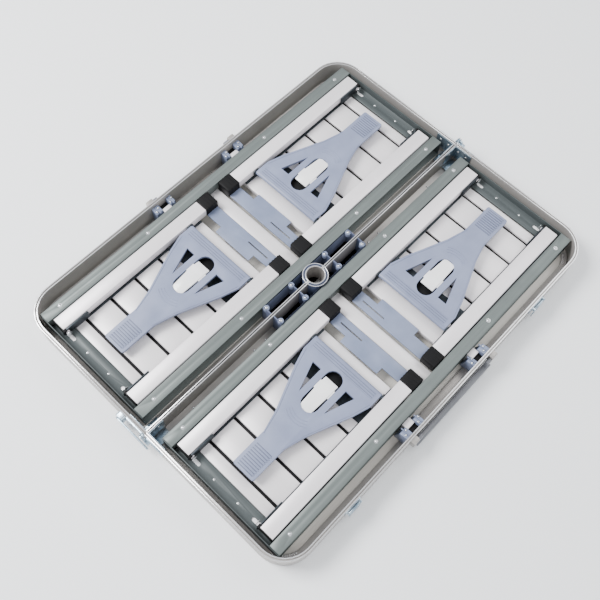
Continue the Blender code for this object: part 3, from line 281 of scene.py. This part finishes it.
def finishes():
    """Every finish, by its name."""
    return (
        # Extruded, then satin anodised: a warm grey with soft, streaked highlights
        brushed_metal("satin anodised aluminium rim", "#96928f", "#bdb9b5", 0, 0.55,
                      (0.32, 0.46)),
        # Rubbed bright at the edge: a thin pale line with sharper highlights
        brushed_metal("polished aluminium lip", "#c4c4c6", "#ececee", 0, 0.7, (0.16, 0.28),
                      POLISH_LINES),
        # Roll-formed with a thin coat: dull grey-green, little sheen
        brushed_metal("grey-green coated rail", "#5a6160", "#6b7371", 0, 0.3, (0.42, 0.56)),
        # The same coat on stamped plate: darker, nearly matt
        brushed_metal("grey-green coated end plate", "#3f4546", "#4e5556", 1, 0.3,
                      (0.44, 0.6)),
        # Drawn tube, clear anodised: near white, with wide, soft highlights
        brushed_metal("clear-anodised leg tube", "#dad5d8", "#efebee", 0, 0.2, (0.34, 0.46)),
        # Extruded slat, clear anodised: near white and a little duller
        brushed_metal("clear-anodised slat", "#d6d2d4", "#eae7e9", 1, 0.2, (0.36, 0.48)),
        # Phosphated steel: near black, faintly mottled, dull
        zinc_plate("dark phosphated steel", "#2b2f33", "#454b50", (0.42, 0.58)),
        # Zinc-plated and blue-passivated steel: bluish, mottled, fairly bright
        zinc_plate("blue zinc-plated steel", "#6f8799", "#c2d0da"),
        # Cold-headed rivet: small bright highlights
        brushed_metal("bright rivet steel", "#b5b8ba", "#e6e8ea", 2, 0.85, (0.18, 0.3)),
        # Textured ABS moulding: flat pale blue-grey with an even, broad sheen
        moulded_plastic("pale grey moulded ABS", "#757d97", "#8189a3"),
        # The same ABS where it lies in shade between ribs: darker
        moulded_plastic("shaded groove ABS", "#4f566b", "#5a6177"),
        # Nylon mouldings: slightly waxy, in three shades and black
        moulded_plastic("blue-grey moulded nylon", "#6c768f", "#7b859e", (0.32, 0.46)),
        moulded_plastic("dark blue moulded nylon", "#454d63", "#586078", (0.32, 0.46)),
        moulded_plastic("grey moulded nylon", "#6d6f75", "#808288", (0.3, 0.44)),
        moulded_plastic("black moulded nylon", "#060607", "#0e0e10", (0.5, 0.66),
                        COARSE_GRAIN, 0.2, shine=0.18),
        # Polished mould: white with small, clear highlights
        moulded_plastic("white gloss ABS", "#e9e9ea", "#f8f8f9", (0.16, 0.24), GLOSS_GRAIN,
                        0.03, 0.3),
        # Melamine face pressed on board: warm pale grey, low sheen broken by scuffs
        laminated_board("laminated tabletop board", "#cbc7bf", "#e3e0d9"),
    )


MATERIALS = {material.name: material for material in finishes()}

# The finish of each kind of node, by the last words of its name
FINISHES = {
    "tabletop_panel": "laminated tabletop board",
    "rim": "satin anodised aluminium rim",
    "seam_wall": "satin anodised aluminium rim",
    "outer_rail": "grey-green coated rail",
    "inner_rail": "grey-green coated rail",
    "end_plate": "grey-green coated end plate",
    "centre_tube": "clear-anodised slat",
    "seam_housing": "dark blue moulded nylon",
    "handle_bracket": "blue-grey moulded nylon",
    "handle": "grey moulded nylon",
    "link_frame": "dark phosphated steel",
    "seat_frame": "dark phosphated steel",
    "seat_slats": "clear-anodised slat",
    "leg_tube": "clear-anodised leg tube",
    "foot_moulding": "blue-grey moulded nylon",
    "brace": "pale grey moulded ABS",
    "brace_latch": "white gloss ABS",
    "hinge_pin": "bright rivet steel",
    "lock_bar": "blue zinc-plated steel",
    "latch_lever": "blue zinc-plated steel",
}


def finish_of(node):
    """The material for a node, by the longest matching ending."""
    endings = [ending for ending in FINISHES if node.endswith(ending)]
    return MATERIALS[FINISHES[max(endings, key=len)]]


# ---------------------------------------------------------------- modelling helpers
def deselect():
    """Leaves nothing selected."""
    if bpy.context.object and bpy.context.object.mode != "OBJECT":
        bpy.ops.object.mode_set(mode="OBJECT")
    bpy.ops.object.select_all(action="DESELECT")


def choose(item):
    """Selects one object alone and makes it active."""
    deselect()
    item.select_set(True)
    bpy.context.view_layer.objects.active = item


def settle(item, name=None):
    """Puts an object's place in its mesh."""
    choose(item)
    bpy.ops.object.transform_apply(location=True, rotation=True, scale=True)
    if name:
        item.name = name
        item.data.name = name
    return item


def apply_all(item):
    """Applies every modifier in order."""
    choose(item)
    for modifier in list(item.modifiers):
        bpy.ops.object.modifier_apply(modifier=modifier.name)


def soften(item, width, segments=2, angle=35.0):
    """Rounds the sharp edges and shades the piece smooth between them."""
    bevel = item.modifiers.new("edge", "BEVEL")
    bevel.width = width
    bevel.segments = segments
    bevel.limit_method = "ANGLE"
    bevel.angle_limit = math.radians(angle)
    bevel.use_clamp_overlap = True
    bevel.harden_normals = False
    apply_all(item)
    choose(item)
    bpy.ops.object.shade_smooth_by_angle(angle=math.radians(40))


def merge(item):
    """Merges loose triangles into a surface and clears flat edges."""
    choose(item)
    bpy.ops.object.mode_set(mode="EDIT")
    bpy.ops.mesh.select_all(action="SELECT")
    bpy.ops.mesh.remove_doubles(threshold=0.000005)
    bpy.ops.mesh.dissolve_limited(angle_limit=math.radians(0.5))
    bpy.ops.object.mode_set(mode="OBJECT")


def cuboid(name, low, high, round_width=0.0, segments=2):
    """Adds a box at its size and place with rounded edges."""
    low = Vector(low)
    high = Vector(high)
    deselect()
    bpy.ops.mesh.primitive_cube_add(size=1.0, location=(low + high) / 2)
    item = bpy.context.object
    item.scale = high - low
    settle(item, name)
    if round_width:
        soften(item, round_width, segments)
    return item


def disc(name, centre, radius, depth, axis=(0, 0, 1), sides=20, taper=1.0):
    """Adds a cylinder or cone about an axis, its middle at centre."""
    turn = Vector(axis).to_track_quat("Z", "Y").to_euler()
    deselect()
    bpy.ops.mesh.primitive_cone_add(vertices=sides, radius1=radius, radius2=radius * taper,
                                    depth=depth, location=centre, rotation=turn)
    return settle(bpy.context.object, name)


def dome(name, centre, radius, rise, axis=(0, 0, 1)):
    """Adds a rivet head: the upper part of a squashed sphere."""
    deselect()
    bpy.ops.mesh.primitive_uv_sphere_add(segments=20, ring_count=12, radius=1.0)
    item = bpy.context.object
    bpy.ops.object.mode_set(mode="EDIT")
    bpy.ops.mesh.select_all(action="SELECT")
    bpy.ops.mesh.bisect(plane_co=(0, 0, 0), plane_no=(0, 0, 1), use_fill=True, clear_inner=True)
    bpy.ops.object.mode_set(mode="OBJECT")
    item.scale = (radius, radius, rise)
    item.rotation_euler = Vector(axis).to_track_quat("Z", "Y").to_euler()
    item.location = centre
    settle(item, name)
    choose(item)
    bpy.ops.object.shade_smooth_by_angle(angle=math.radians(50))
    return item


def fuse(items, name):
    """Joins objects into one mesh object."""
    deselect()
    for item in items:
        item.select_set(True)
    bpy.context.view_layer.objects.active = items[0]
    if len(items) > 1:
        bpy.ops.object.join()
    items[0].name = name
    items[0].data.name = name
    return items[0]


def finish_piece(item, body, material, stands_for=()):
    """Gives a piece its material and its body, and hides the nodes it stands for."""
    item.data.materials.clear()
    item.data.materials.append(MATERIALS[material] if isinstance(material, str) else material)
    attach(item, body)
    if stands_for:
        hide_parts(*stands_for)
    return item


def copy_of(item, name, matrix):
    """Copies a modelled piece with its own mesh, moved by a matrix."""
    mesh = item.data.copy()
    mesh.transform(matrix)
    twin = bpy.data.objects.new(name, mesh)
    bpy.context.scene.collection.objects.link(twin)
    return twin


def tube(name, points, radius, closed=False):
    """Makes a round wire or bead along points, as a mesh."""
    curve = bpy.data.curves.new(name, "CURVE")
    curve.dimensions = "3D"
    curve.bevel_depth = radius
    curve.bevel_resolution = 2
    curve.use_fill_caps = True
    spline = curve.splines.new("POLY")
    spline.points.add(len(points) - 1)
    for point, place in zip(spline.points, points):
        point.co = (*place, 1.0)
    spline.use_cyclic_u = closed
    item = bpy.data.objects.new(name, curve)
    bpy.context.scene.collection.objects.link(item)
    choose(item)
    bpy.ops.object.convert(target="MESH")
    item = bpy.context.object
    bpy.ops.object.shade_smooth_by_angle(angle=math.radians(50))
    return item


def arc(centre, radius, first, last, z, steps=16):
    """Points of an arc in a level plane, angles in degrees."""
    points = []
    for step in range(steps + 1):
        angle = math.radians(first + (last - first) * step / steps)
        points.append((centre[0] + radius * math.cos(angle),
                       centre[1] + radius * math.sin(angle), z))
    return points


def dress(item, material, chosen):
    """Gives the faces that a test picks a second material."""
    item.data.materials.append(MATERIALS[material])
    index = len(item.data.materials) - 1
    for face in item.data.polygons:
        if chosen(face.center, face.normal):
            face.material_index = index


def discard(*items):
    """Removes the patterns that copies were made from."""
    for item in items:
        bpy.data.objects.remove(item, do_unlink=True)


def refined(node, width=EDGE_ROUND, segments=2):
    """A merged copy of a CAD node's mesh with its edges rounded."""
    item = copy_of(frame["nodes"][node], f"{node}_fine", Matrix.Identity(4))
    merge(item)
    soften(item, width, segments)
    return item


def turned(tray):
    """The matrix that takes the rear tray's detail to a tray."""
    return Matrix.Identity(4) if tray == "rear" else HALF_TURN


# Each seat unit's name, its tray, and the matrix that takes a pattern to it
UNITS = []
for tray, _ in TRAYS:
    for end, way in ENDS:
        matrix = Matrix.Translation((0, joint_place(f"{tray}_{end}_unfold").y, 0))
        if way < 0:
            matrix = matrix @ HALF_TURN
        UNITS.append((f"{tray}_{end}", tray, matrix))

# The unit that patterns are measured on: its boxes, relative to its own middle line
MODEL_UNIT = "rear_right"
UNIT_Y = joint_place(f"{MODEL_UNIT}_unfold").y


def unit_box(part):
    """A part's box on the model unit, with y from the unit's middle line."""
    low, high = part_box(f"{MODEL_UNIT}_{part}")
    shift = Vector((0, UNIT_Y, 0))
    return Vector(low) - shift, Vector(high) - shift


def spread_to_units(part, groups):
    """Copies patterns to every seat unit, each with its own name and material."""
    for unit, _, matrix in UNITS:
        for label, pattern, material, slot in groups:
            finish_piece(copy_of(pattern, f"{unit}_{label}", matrix), f"{unit}_{part}",
                         material)
    discard(*(group[1] for group in groups))


def spread_to_trays(groups):
    """Copies patterns to both trays, each with its own name and material."""
    for tray, _ in TRAYS:
        for label, pattern, material, slot in groups:
            finish_piece(copy_of(pattern, f"{tray}_{label}", turned(tray)), f"{tray}_tray",
                         material)
    discard(*(group[1] for group in groups))


# ---------------------------------------------------------------- pieces
def refine_nodes():
    """Refines the structural nodes: every edge gets the small radius of the real section."""
    shaped_apart = ("foot_moulding", "brace", "brace_latch", "hinge_pin", "handle_bracket")
    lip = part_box("rear_seam_wall")[1][2] - SLIP
    for node in frame["nodes"]:
        if node.endswith(shaped_apart):
            continue
        width = MOULD_ROUND if node.endswith(("handle", "seam_housing")) else EDGE_ROUND
        item = finish_piece(refined(node, width), BODY_OF[node], finish_of(node),
                            (node,))
        if node.endswith(("rim", "seam_wall")):
            dress(item, "polished aluminium lip",
                  lambda place, normal: place.z > lip and normal.z > LEVEL)
        if node.endswith("rim"):
            dress(item, "blue zinc-plated steel",
                  lambda place, normal: abs(place.x) > HALF_LENGTH + FITTING_STEP
                  or (abs(place.y) > HALF_WIDTH + FITTING_STEP and abs(place.x) > LATCH_FROM))
    for node, item in frame["nodes"].items():
        if node.endswith("hinge_pin"):
            item.data.materials.clear()
            item.data.materials.append(finish_of(node))


def braces():
    """Braces with grip ribs on the arm, ridges along the wide end and a raised slot rim."""
    low, high = unit_box("brace")
    top = high.z - 0.0001
    root = top - 0.0008                  # detail starts inside the plate
    arm_end = high.x - 0.008
    rib_half, groove_half = 0.0185, 0.0176
    ridge_pitch = 0.0048
    ridge_half, furrow_half = 0.073, 0.0720
    ridge_top = top + RIB_RISE * 0.6
    groove_top = top + 0.0003
    slot_end = (0.1885, 0)
    bead = 0.0009

    details = []
    for number in range(RIB_COUNT):
        x = arm_end - number * RIB_PITCH
        details.append(cuboid("rib", (x - 0.0013, -rib_half, root),
                              (x + 0.0013, rib_half, top + RIB_RISE), 0.0005))
    for number in range(RIDGE_COUNT):
        x = low.x + 0.0075 + number * ridge_pitch
        details.append(cuboid("ridge", (x - 0.0007, -ridge_half, root),
                              (x + 0.0007, ridge_half, ridge_top), 0.0004))
    for number in range(3):
        radius = 0.0335 + number * 0.0055
        details.append(tube("bead", arc(slot_end, radius, -34, 34, top), bead))
    for side in (1, -1):
        # along the plate's edge, from the wide end to the arm
        edge = ((0.118, 0.0765), (0.155, 0.0655), (0.238, 0.0325), (0.283, 0.0215))
        details.append(tube("bead", [(x, side * y, top) for x, y in edge], bead))
    details = fuse(details, "details")

    # Darker strips between the ribs and between the ridges: painted shade where the grooves lie
    # in shadow.
    groove_shade = []
    for number in range(RIB_COUNT + 1):
        x = arm_end - (number - 0.5) * RIB_PITCH
        groove_shade.append(cuboid("groove", (x - 0.0007, -groove_half, root),
                              (x + 0.0007, groove_half, groove_top), 0.0002))
    for number in range(RIDGE_COUNT - 1):
        x = low.x + 0.0099 + number * ridge_pitch
        groove_shade.append(cuboid("groove", (x - 0.0005, -furrow_half, root),
                              (x + 0.0005, furrow_half, groove_top), 0.0002))
    groove_shade = fuse(groove_shade, "groove_shade")

    for unit, _, matrix in UNITS:
        node = f"{unit}_brace"
        finish_piece(copy_of(groove_shade, f"{node}_grooves", matrix), BODY_OF[node],
                     "shaded groove ABS")
        brace = fuse([refined(node, 0.0011, 3), copy_of(details, "details", matrix)],
                     f"{node}_fine")
        finish_piece(brace, BODY_OF[node], finish_of(node), (node,))
    discard(details, groove_shade)


def rockers():
    """Rocker latches: a flat middle facet and two facets that fall away from it."""
    low, high = unit_box("brace_latch")
    half = 0.0148
    under = high.z - 0.006
    fold = (0.144, 0.161)                # ends of the flat middle facet
    near = 0.001
    rocker = cuboid("rocker", (low.x, -half, under), (high.x, half, high.z))
    choose(rocker)
    bpy.ops.object.mode_set(mode="EDIT")
    for x in fold:
        bpy.ops.mesh.select_all(action="SELECT")
        bpy.ops.mesh.bisect(plane_co=(x, 0, 0), plane_no=(1, 0, 0))
    bpy.ops.object.mode_set(mode="OBJECT")
    for vertex in rocker.data.vertices:
        if vertex.co.z > high.z - near:
            if vertex.co.x > fold[1] + near:
                vertex.co.z -= 0.0036
            elif vertex.co.x < fold[0] - near:
                vertex.co.z -= 0.0028
        if vertex.co.x > fold[1] + near:
            vertex.co.y *= 0.86
    soften(rocker, 0.0014, 3, 8.0)
    ear_half = 0.0172
    ears = cuboid("ears", (fold[0] - 0.001, -ear_half, under + 0.0012),
                  (fold[1] + 0.001, ear_half, high.z - 0.0012), 0.0006)
    pins = disc("pins", (joint_place(f"{MODEL_UNIT}_latch_press").x, 0, 0.045), 0.0018,
                0.039, (0, 1, 0))
    rocker = fuse([rocker, ears, pins], "rocker")
    for unit, _, matrix in UNITS:
        node = f"{unit}_brace_latch"
        finish_piece(copy_of(rocker, f"{node}_fine", matrix), BODY_OF[node], finish_of(node),
                     (node,))
    discard(rocker)


def feet():
    """Black foot caps with a ribbed sole, and the blue-grey tie plate between them."""
    low, high = unit_box("foot_moulding")
    cap_end = unit_box("outer_leg_tube")[0].x - SLIP
    inner = 0.0839                       # a cap's inner face, from the unit's middle line
    rib_pitch = 0.0068
    pieces = []
    for side in (1, -1):
        faces = sorted((side * inner, side * high.y))
        pieces.append(cuboid("cap", (low.x, faces[0], low.z), (cap_end, faces[1], high.z),
                             0.0022, 3))
        for number in range(4):
            x = low.x + 0.006 + number * rib_pitch
            pieces.append(cuboid("cap_rib", (x - 0.0012, faces[0] - SLIP, low.z + 0.002),
                                 (x + 0.0012, faces[1] + SLIP, high.z + SLIP), 0.0005))
    caps = fuse(pieces, "caps")
    for unit, _, matrix in UNITS:
        node = f"{unit}_foot_moulding"
        finish_piece(copy_of(caps, f"{unit}_foot_caps", matrix), BODY_OF[node],
                     "black moulded nylon", (node,))
        tie = copy_of(frame["nodes"][node], f"{unit}_foot_tie", Matrix.Identity(4))
        merge(tie)
        bpy.ops.object.mode_set(mode="EDIT")
        middle = matrix.translation.y
        for side in (1, -1):
            bpy.ops.mesh.select_all(action="SELECT")
            bpy.ops.mesh.bisect(plane_co=(0, middle + side * (inner - 0.0004), 0),
                                plane_no=(0, side, 0), use_fill=True, clear_outer=True)
        bpy.ops.object.mode_set(mode="OBJECT")
        soften(tie, 0.0005)
        finish_piece(tie, BODY_OF[node], "blue-grey moulded nylon")
    discard(caps)


def slat_gap_strips():
    """Black strips in the gaps between the seat's slats, reaching to a little below the slats'
    faces, so that the gaps show dark.
    """
    low, high = unit_box("seat_slats")
    end_slat = 0.022
    pitch = 0.0592
    gap = 0.0060
    tuck = 0.0002                        # how far a strip reaches under each slat
    strips = []
    for number in range(5):
        outer = high.x - end_slat - number * pitch
        strips.append(cuboid("strip", (outer - gap - tuck, low.y + 0.0012, low.z + 0.001),
                             (outer + tuck, high.y - 0.0012, high.z - STRIP_DROP),
                             MOULD_ROUND))
    spread_to_units("seat", [("slat_strips", fuse(strips, "strips"),
                                        "black moulded nylon", "black_plastic")])


def rivets():
    """Rivets on the rails, screws on the end plates, seam rivets and hinge rivets."""
    for tray, sign in TRAYS:
        heads = []
        for rail in ("outer_rail", "inner_rail"):
            low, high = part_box(f"{tray}_{rail}")
            y = (low[1] + high[1]) / 2
            for way in (1, -1):
                for x in RAIL_RIVET_X:
                    heads.append(disc("washer", (way * x, y, high[2] + 0.0002), RIVET_HEAD,
                                      0.0005, taper=0.92))
                    heads.append(dome("head", (way * x, y, high[2] + 0.0004), RIVET_HEAD * 0.72,
                                      RIVET_RISE))
        for end, way in ENDS:
            middle = joint_place(f"{tray}_{end}_unfold")
            for offset in (0.0287, -0.0287):
                heads.append(dome("screw", (middle.x, middle.y + offset, 0.0286), SCREW_HEAD,
                                  SMALL_RISE))
            for y in (0.015, 0.036):
                heads.append(dome("hinge_rivet", (way * (HALF_LENGTH + 0.0022), sign * y, 0.0425),
                                  0.0028, 0.0014, (way, 0, 0)))
        for x in (0.146, 0.176, 0.330, 0.402):
            for way in (1, -1):
                heads.append(dome("seam_rivet", (way * x, sign * 0.0118, 0.0058), SMALL_RIVET,
                                  SMALL_RISE))
        finish_piece(fuse(heads, f"{tray}_rivets"), f"{tray}_tray", "bright rivet steel")


def latch_shade_pockets():
    """Black cups under the braces' slots: painted shade that makes the slots show as dark, deep
    holes. They are deep enough for the rocker to tip.
    """
    ends = (0.1090, 0.2085)
    half = 0.0192
    floor = (0.0352, 0.0362)             # bottom and top of the cup's floor
    wall = 0.0010
    rim = unit_box("brace")[0].z + 0.0004
    parts = [cuboid("floor", (ends[0], -half, floor[0]), (ends[1], half, floor[1]), EDGE_ROUND)]
    for x in (ends[0], ends[1] - wall):
        parts.append(cuboid("wall", (x, -half, floor[0]), (x + wall, half, rim), 0.0003))
    for y in (-half, half - wall):
        parts.append(cuboid("wall", (ends[0], y, floor[0]), (ends[1], y + wall, rim), 0.0003))
    spread_to_units("brace", [("latch_shade_pocket", fuse(parts, "cup"), "black moulded nylon",
                                      "black_plastic")])


def tube_plugs():
    """Black plugs in the outer ends of the leg tubes, and the pivot bolts' washers."""
    low, high = unit_box("outer_leg_tube")
    pivot = joint_place(f"{MODEL_UNIT}_legs_out")
    wall = 0.0009
    plugs = []
    washers = []
    for side in (1, -1):
        faces = sorted((side * (abs(low.y) + wall), side * (abs(high.y) - wall)))
        plugs.append(cuboid("plug", (high.x - 0.006, faces[0], low.z + wall),
                            (high.x + 0.0012, faces[1], high.z - wall), MOULD_ROUND))
        washers.append(disc("washer", (pivot.x, side * (abs(low.y) - 0.0032), pivot.z), 0.0062,
                            0.0006, (0, side, 0), 24))
    spread_to_units("legs", [
        ("tube_plugs", fuse(plugs, "plugs"), "black moulded nylon", "black_plastic"),
        ("pivot_washers", fuse(washers, "washers"), "bright rivet steel", "zinc_steel")])


def slot_light_pads():
    """Pale pads under the end plates' slots: painted light, so that the slots show bright as if
    lit from the board below.
    """
    pivot = joint_place(f"{MODEL_UNIT}_unfold")
    half_x, half_y = 0.0062, 0.0105
    slot_y = 0.071                       # a slot's middle, from the unit's middle line
    pads = fuse([cuboid("pad", (pivot.x - half_x, side * slot_y - half_y, 0.0240),
                        (pivot.x + half_x, side * slot_y + half_y, 0.0268), 0.0006)
                 for side in (1, -1)], "pads")
    for unit, tray, matrix in UNITS:
        finish_piece(copy_of(pads, f"{unit}_slot_light_pads", matrix), f"{tray}_tray",
                     "white gloss ABS")
    discard(pads)


def hinge_straps():
    """Zinc straps inside the rim and along the seam wall at both hinges, with rivets."""
    low_z, high_z = 0.0180, 0.0512
    bevel = 0.0005
    head, rise = 0.0027, 0.0013
    straps = []
    heads = []
    for way in (1, -1):
        xs = sorted((way * (WALL_IN - 0.0017), way * (WALL_IN - 0.0001)))
        straps.append(cuboid("strap", (xs[0], 0.0031, low_z), (xs[1], 0.0440, high_z), bevel))
        xs = sorted((way * (WALL_IN - 0.0330), way * (WALL_IN - 0.0004)))
        straps.append(cuboid("strap", (xs[0], 0.0030, low_z), (xs[1], 0.0046, high_z), bevel))
        straps.append(cuboid("tab", (xs[0] + 0.002, 0.0031, 0.0075), (xs[1], 0.0220, 0.0090),
                             bevel))
        for y in (0.0130, 0.0330):
            heads.append(dome("head", (way * (WALL_IN - 0.0016), y, 0.0400), head, rise,
                              (-way, 0, 0)))
        heads.append(dome("head", (way * (WALL_IN - 0.0210), 0.0045, 0.0420), head, rise,
                          (0, 1, 0)))
    spread_to_trays([
        ("hinge_straps", fuse(straps, "straps"), "blue zinc-plated steel", "zinc_steel"),
        ("hinge_rivets", fuse(heads, "heads"), "bright rivet steel", "zinc_steel")])


def seam_trim():
    """Black seals in the seam walls' top edges, and the double metal ring at the parasol hole."""
    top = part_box("rear_seam_wall")[1][2]
    seals = []
    for way in (1, -1):
        xs = sorted((way * 0.0256, way * (WALL_IN - 0.001)))
        seals.append(cuboid("seal", (xs[0], 0.0002, top - 0.0030),
                            (xs[1], 0.0012, top + 0.0001), 0.0002))
    rings = fuse([tube("ring", arc((0, 0), radius, 4, 176, top - 0.0007), 0.0008)
                  for radius in (0.0243, 0.0188)], "rings")
    groove = tube("groove", arc((0, 0), 0.0215, 5, 175, top - 0.0008), 0.0007)
    deselect()
    bpy.ops.mesh.primitive_cylinder_add(vertices=48, radius=0.0178, depth=0.0460,
                                        location=(0, 0, 0.0292), end_fill_type="NOTHING")
    sleeve = settle(bpy.context.object, "sleeve")
    bpy.ops.object.mode_set(mode="EDIT")
    bpy.ops.mesh.select_all(action="SELECT")
    bpy.ops.mesh.bisect(plane_co=(0, 0.0004, 0), plane_no=(0, 1, 0), clear_inner=True)
    bpy.ops.object.mode_set(mode="OBJECT")
    wall = sleeve.modifiers.new("wall", "SOLIDIFY")
    wall.thickness = 0.0005
    wall.offset = -1.0
    apply_all(sleeve)
    bpy.ops.object.shade_smooth_by_angle(angle=math.radians(40))
    spread_to_trays([
        ("seam_seal", fuse(seals, "seals"), "black moulded nylon", "black_plastic"),
        ("parasol_rings", rings, "polished aluminium lip", "frame_aluminium"),
        ("parasol_groove", groove, "black moulded nylon", "black_plastic"),
        ("parasol_sleeve", sleeve, "satin anodised aluminium rim", "frame_aluminium")])


def housing_tabs():
    """Rounded screw tabs at the seam housings' webs."""
    low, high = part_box("rear_seam_housing")
    y = high[1] - 0.0065
    inset = 0.0055
    web = 0.0462
    tabs = []
    screws = []
    for x in (high[0] - inset, web, -web, low[0] + inset):
        tabs.append(disc("tab", (x, y, high[2] - 0.0070), 0.0056, 0.0110, sides=28))
        screws.append(dome("screw", (x, y, high[2] - 0.0015), 0.0027, 0.0013))
    for item in tabs:
        soften(item, MOULD_ROUND)
    spread_to_trays([
        ("housing_tabs", fuse(tabs, "tabs"), "blue-grey moulded nylon", "blue_grey_plastic"),
        ("housing_screws", fuse(screws, "screws"), "bright rivet steel", "zinc_steel")])


def handle_brackets():
    """Two clips with a dark recess and a pale spacer at each end of a thin strap."""
    low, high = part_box("rear_handle_bracket")
    low_z, high_z = low[2], high[2]
    near, far = low[1], high[1]
    start = 0.070                        # where the first clip starts, from the middle
    first_width, last_width = 0.0120, 0.0160
    strap = cuboid("strap", (-start - 0.001, far - 0.0160, low_z),
                   (start + 0.001, far - SLIP, low_z + 0.0040), 0.0006)
    clips = []
    dark = []
    pale = []
    screws = []
    for way in (1, -1):
        for first, last in ((start, start + first_width), (high[0] - last_width, high[0])):
            xs = sorted((way * first, way * last))
            clip = cuboid("clip", (xs[0], near, low_z), (xs[1], far, high_z))
            for vertex in clip.data.vertices:
                if vertex.co.z > high_z - 0.001 and vertex.co.y < near + 0.001:
                    vertex.co.y += 0.0085
                    vertex.co.z -= 0.0030
            soften(clip, 0.0012, 3)
            clips.append(clip)
            middle = (xs[0] + xs[1]) / 2
            clips.append(cuboid("fin", (middle - 0.0008, near + 0.004, high_z - 0.004),
                                (middle + 0.0008, far - 0.001, high_z + 0.0012), 0.0005))
            screws.append(dome("screw", (middle + 0.0035, far - 0.0060, high_z - 0.0002),
                               0.0021, 0.0011))
            screws.append(dome("screw", (middle - 0.0035, far - 0.0120, high_z - 0.0012),
                               0.0019, 0.0011))
        xs = sorted((way * (start + first_width + 0.0002),
                     way * (high[0] - last_width - 0.0002)))
        dark.append(cuboid("recess", (xs[0], far - 0.0105, low_z), (xs[1], far, high_z - 0.012),
                           MOULD_ROUND))
        pale.append(cuboid("spacer", (xs[0], near, low_z), (xs[1], far - 0.0107, high_z - 0.007),
                           0.0012, 3))
    clips = fuse(clips, "clips")
    for tray, _ in TRAYS:
        finish_piece(copy_of(clips, f"{tray}_bracket_clips", turned(tray)), f"{tray}_tray",
                     "blue-grey moulded nylon",
                     (f"{tray}_handle_bracket",))
    discard(clips)
    spread_to_trays([
        ("bracket_strap", strap, "satin anodised aluminium rim", "painted_aluminium_rim"),
        ("bracket_recess", fuse(dark, "recess"), "black moulded nylon", "black_plastic"),
        ("bracket_spacers", fuse(pale, "spacers"), "clear-anodised slat", "frame_aluminium"),
        ("bracket_screws", fuse(screws, "screws"), "bright rivet steel", "zinc_steel")])


def corner_teeth():
    """Small embossed teeth on the rim's ledge at each rounded corner."""
    corner = 0.060                       # from the case's corner to the bend's centre
    radius = 0.0455
    teeth = []
    for way in (1, -1):
        for step in range(11):
            angle = math.radians(20 + step * 5)
            tooth = cuboid("tooth", (-0.0022, -0.0006, 0.0055), (0.0022, 0.0006, 0.0068), 0.0003)
            tooth.rotation_euler = (0, 0, angle if way > 0 else math.pi - angle)
            tooth.location = (way * (HALF_LENGTH - corner + radius * math.cos(angle)),
                              HALF_WIDTH - corner + radius * math.sin(angle), 0)
            teeth.append(settle(tooth, "tooth"))
    spread_to_trays([("corner_teeth", fuse(teeth, "teeth"), "polished aluminium lip",
                      "painted_aluminium_rim")])


# ---------------------------------------------------------------- stage, light and camera
def stage():
    """Plain pale floor, soft lights and the camera."""
    deselect()
    bpy.ops.mesh.primitive_plane_add(size=30.0, location=(0, 0, cad_low[2] - 0.0005))
    floor = bpy.context.object
    floor.name = "floor"
    material, _, shader = start_material("matt white floor", 0.0, 0.9)
    shader.inputs["Base Color"].default_value = linear("#f6f8fa")
    floor.data.materials.append(material)
    world = bpy.data.worlds.new("studio")
    world.use_nodes = True
    background = world.node_tree.nodes["Background"]
    background.inputs["Color"].default_value = linear("#f4f7fb")
    background.inputs["Strength"].default_value = 0.8
    bpy.context.scene.world = world
    for name, place, size, power in (("key", (-1.2, 1.8, 2.6), 1.5, 210.0),
                                     ("fill", (1.9, -0.6, 2.2), 2.0, 40.0),
                                     ("front", (-1.4, -1.8, 2.4), 2.0, 34.0)):
        light = bpy.data.lights.new(name, "AREA")
        light.size = size
        light.energy = power
        lamp = bpy.data.objects.new(name, light)
        lamp.location = place
        lamp.rotation_euler = (-Vector(place)).to_track_quat("-Z", "Y").to_euler()
        bpy.context.scene.collection.objects.link(lamp)
    camera = bpy.data.objects.new("camera", bpy.data.cameras.new("camera"))
    camera.data.lens = 46.64
    camera.location = (-0.5295, -0.3963, 1.3582)
    camera.rotation_euler = [math.radians(angle) for angle in (24.803, -2.130, -46.448)]
    bpy.context.scene.collection.objects.link(camera)
    bpy.context.scene.camera = camera


refine_nodes()
braces()
rockers()
feet()
slat_gap_strips()
latch_shade_pockets()
tube_plugs()
slot_light_pads()
hinge_straps()
seam_trim()
housing_tabs()
handle_brackets()
corner_teeth()
rivets()
stage()
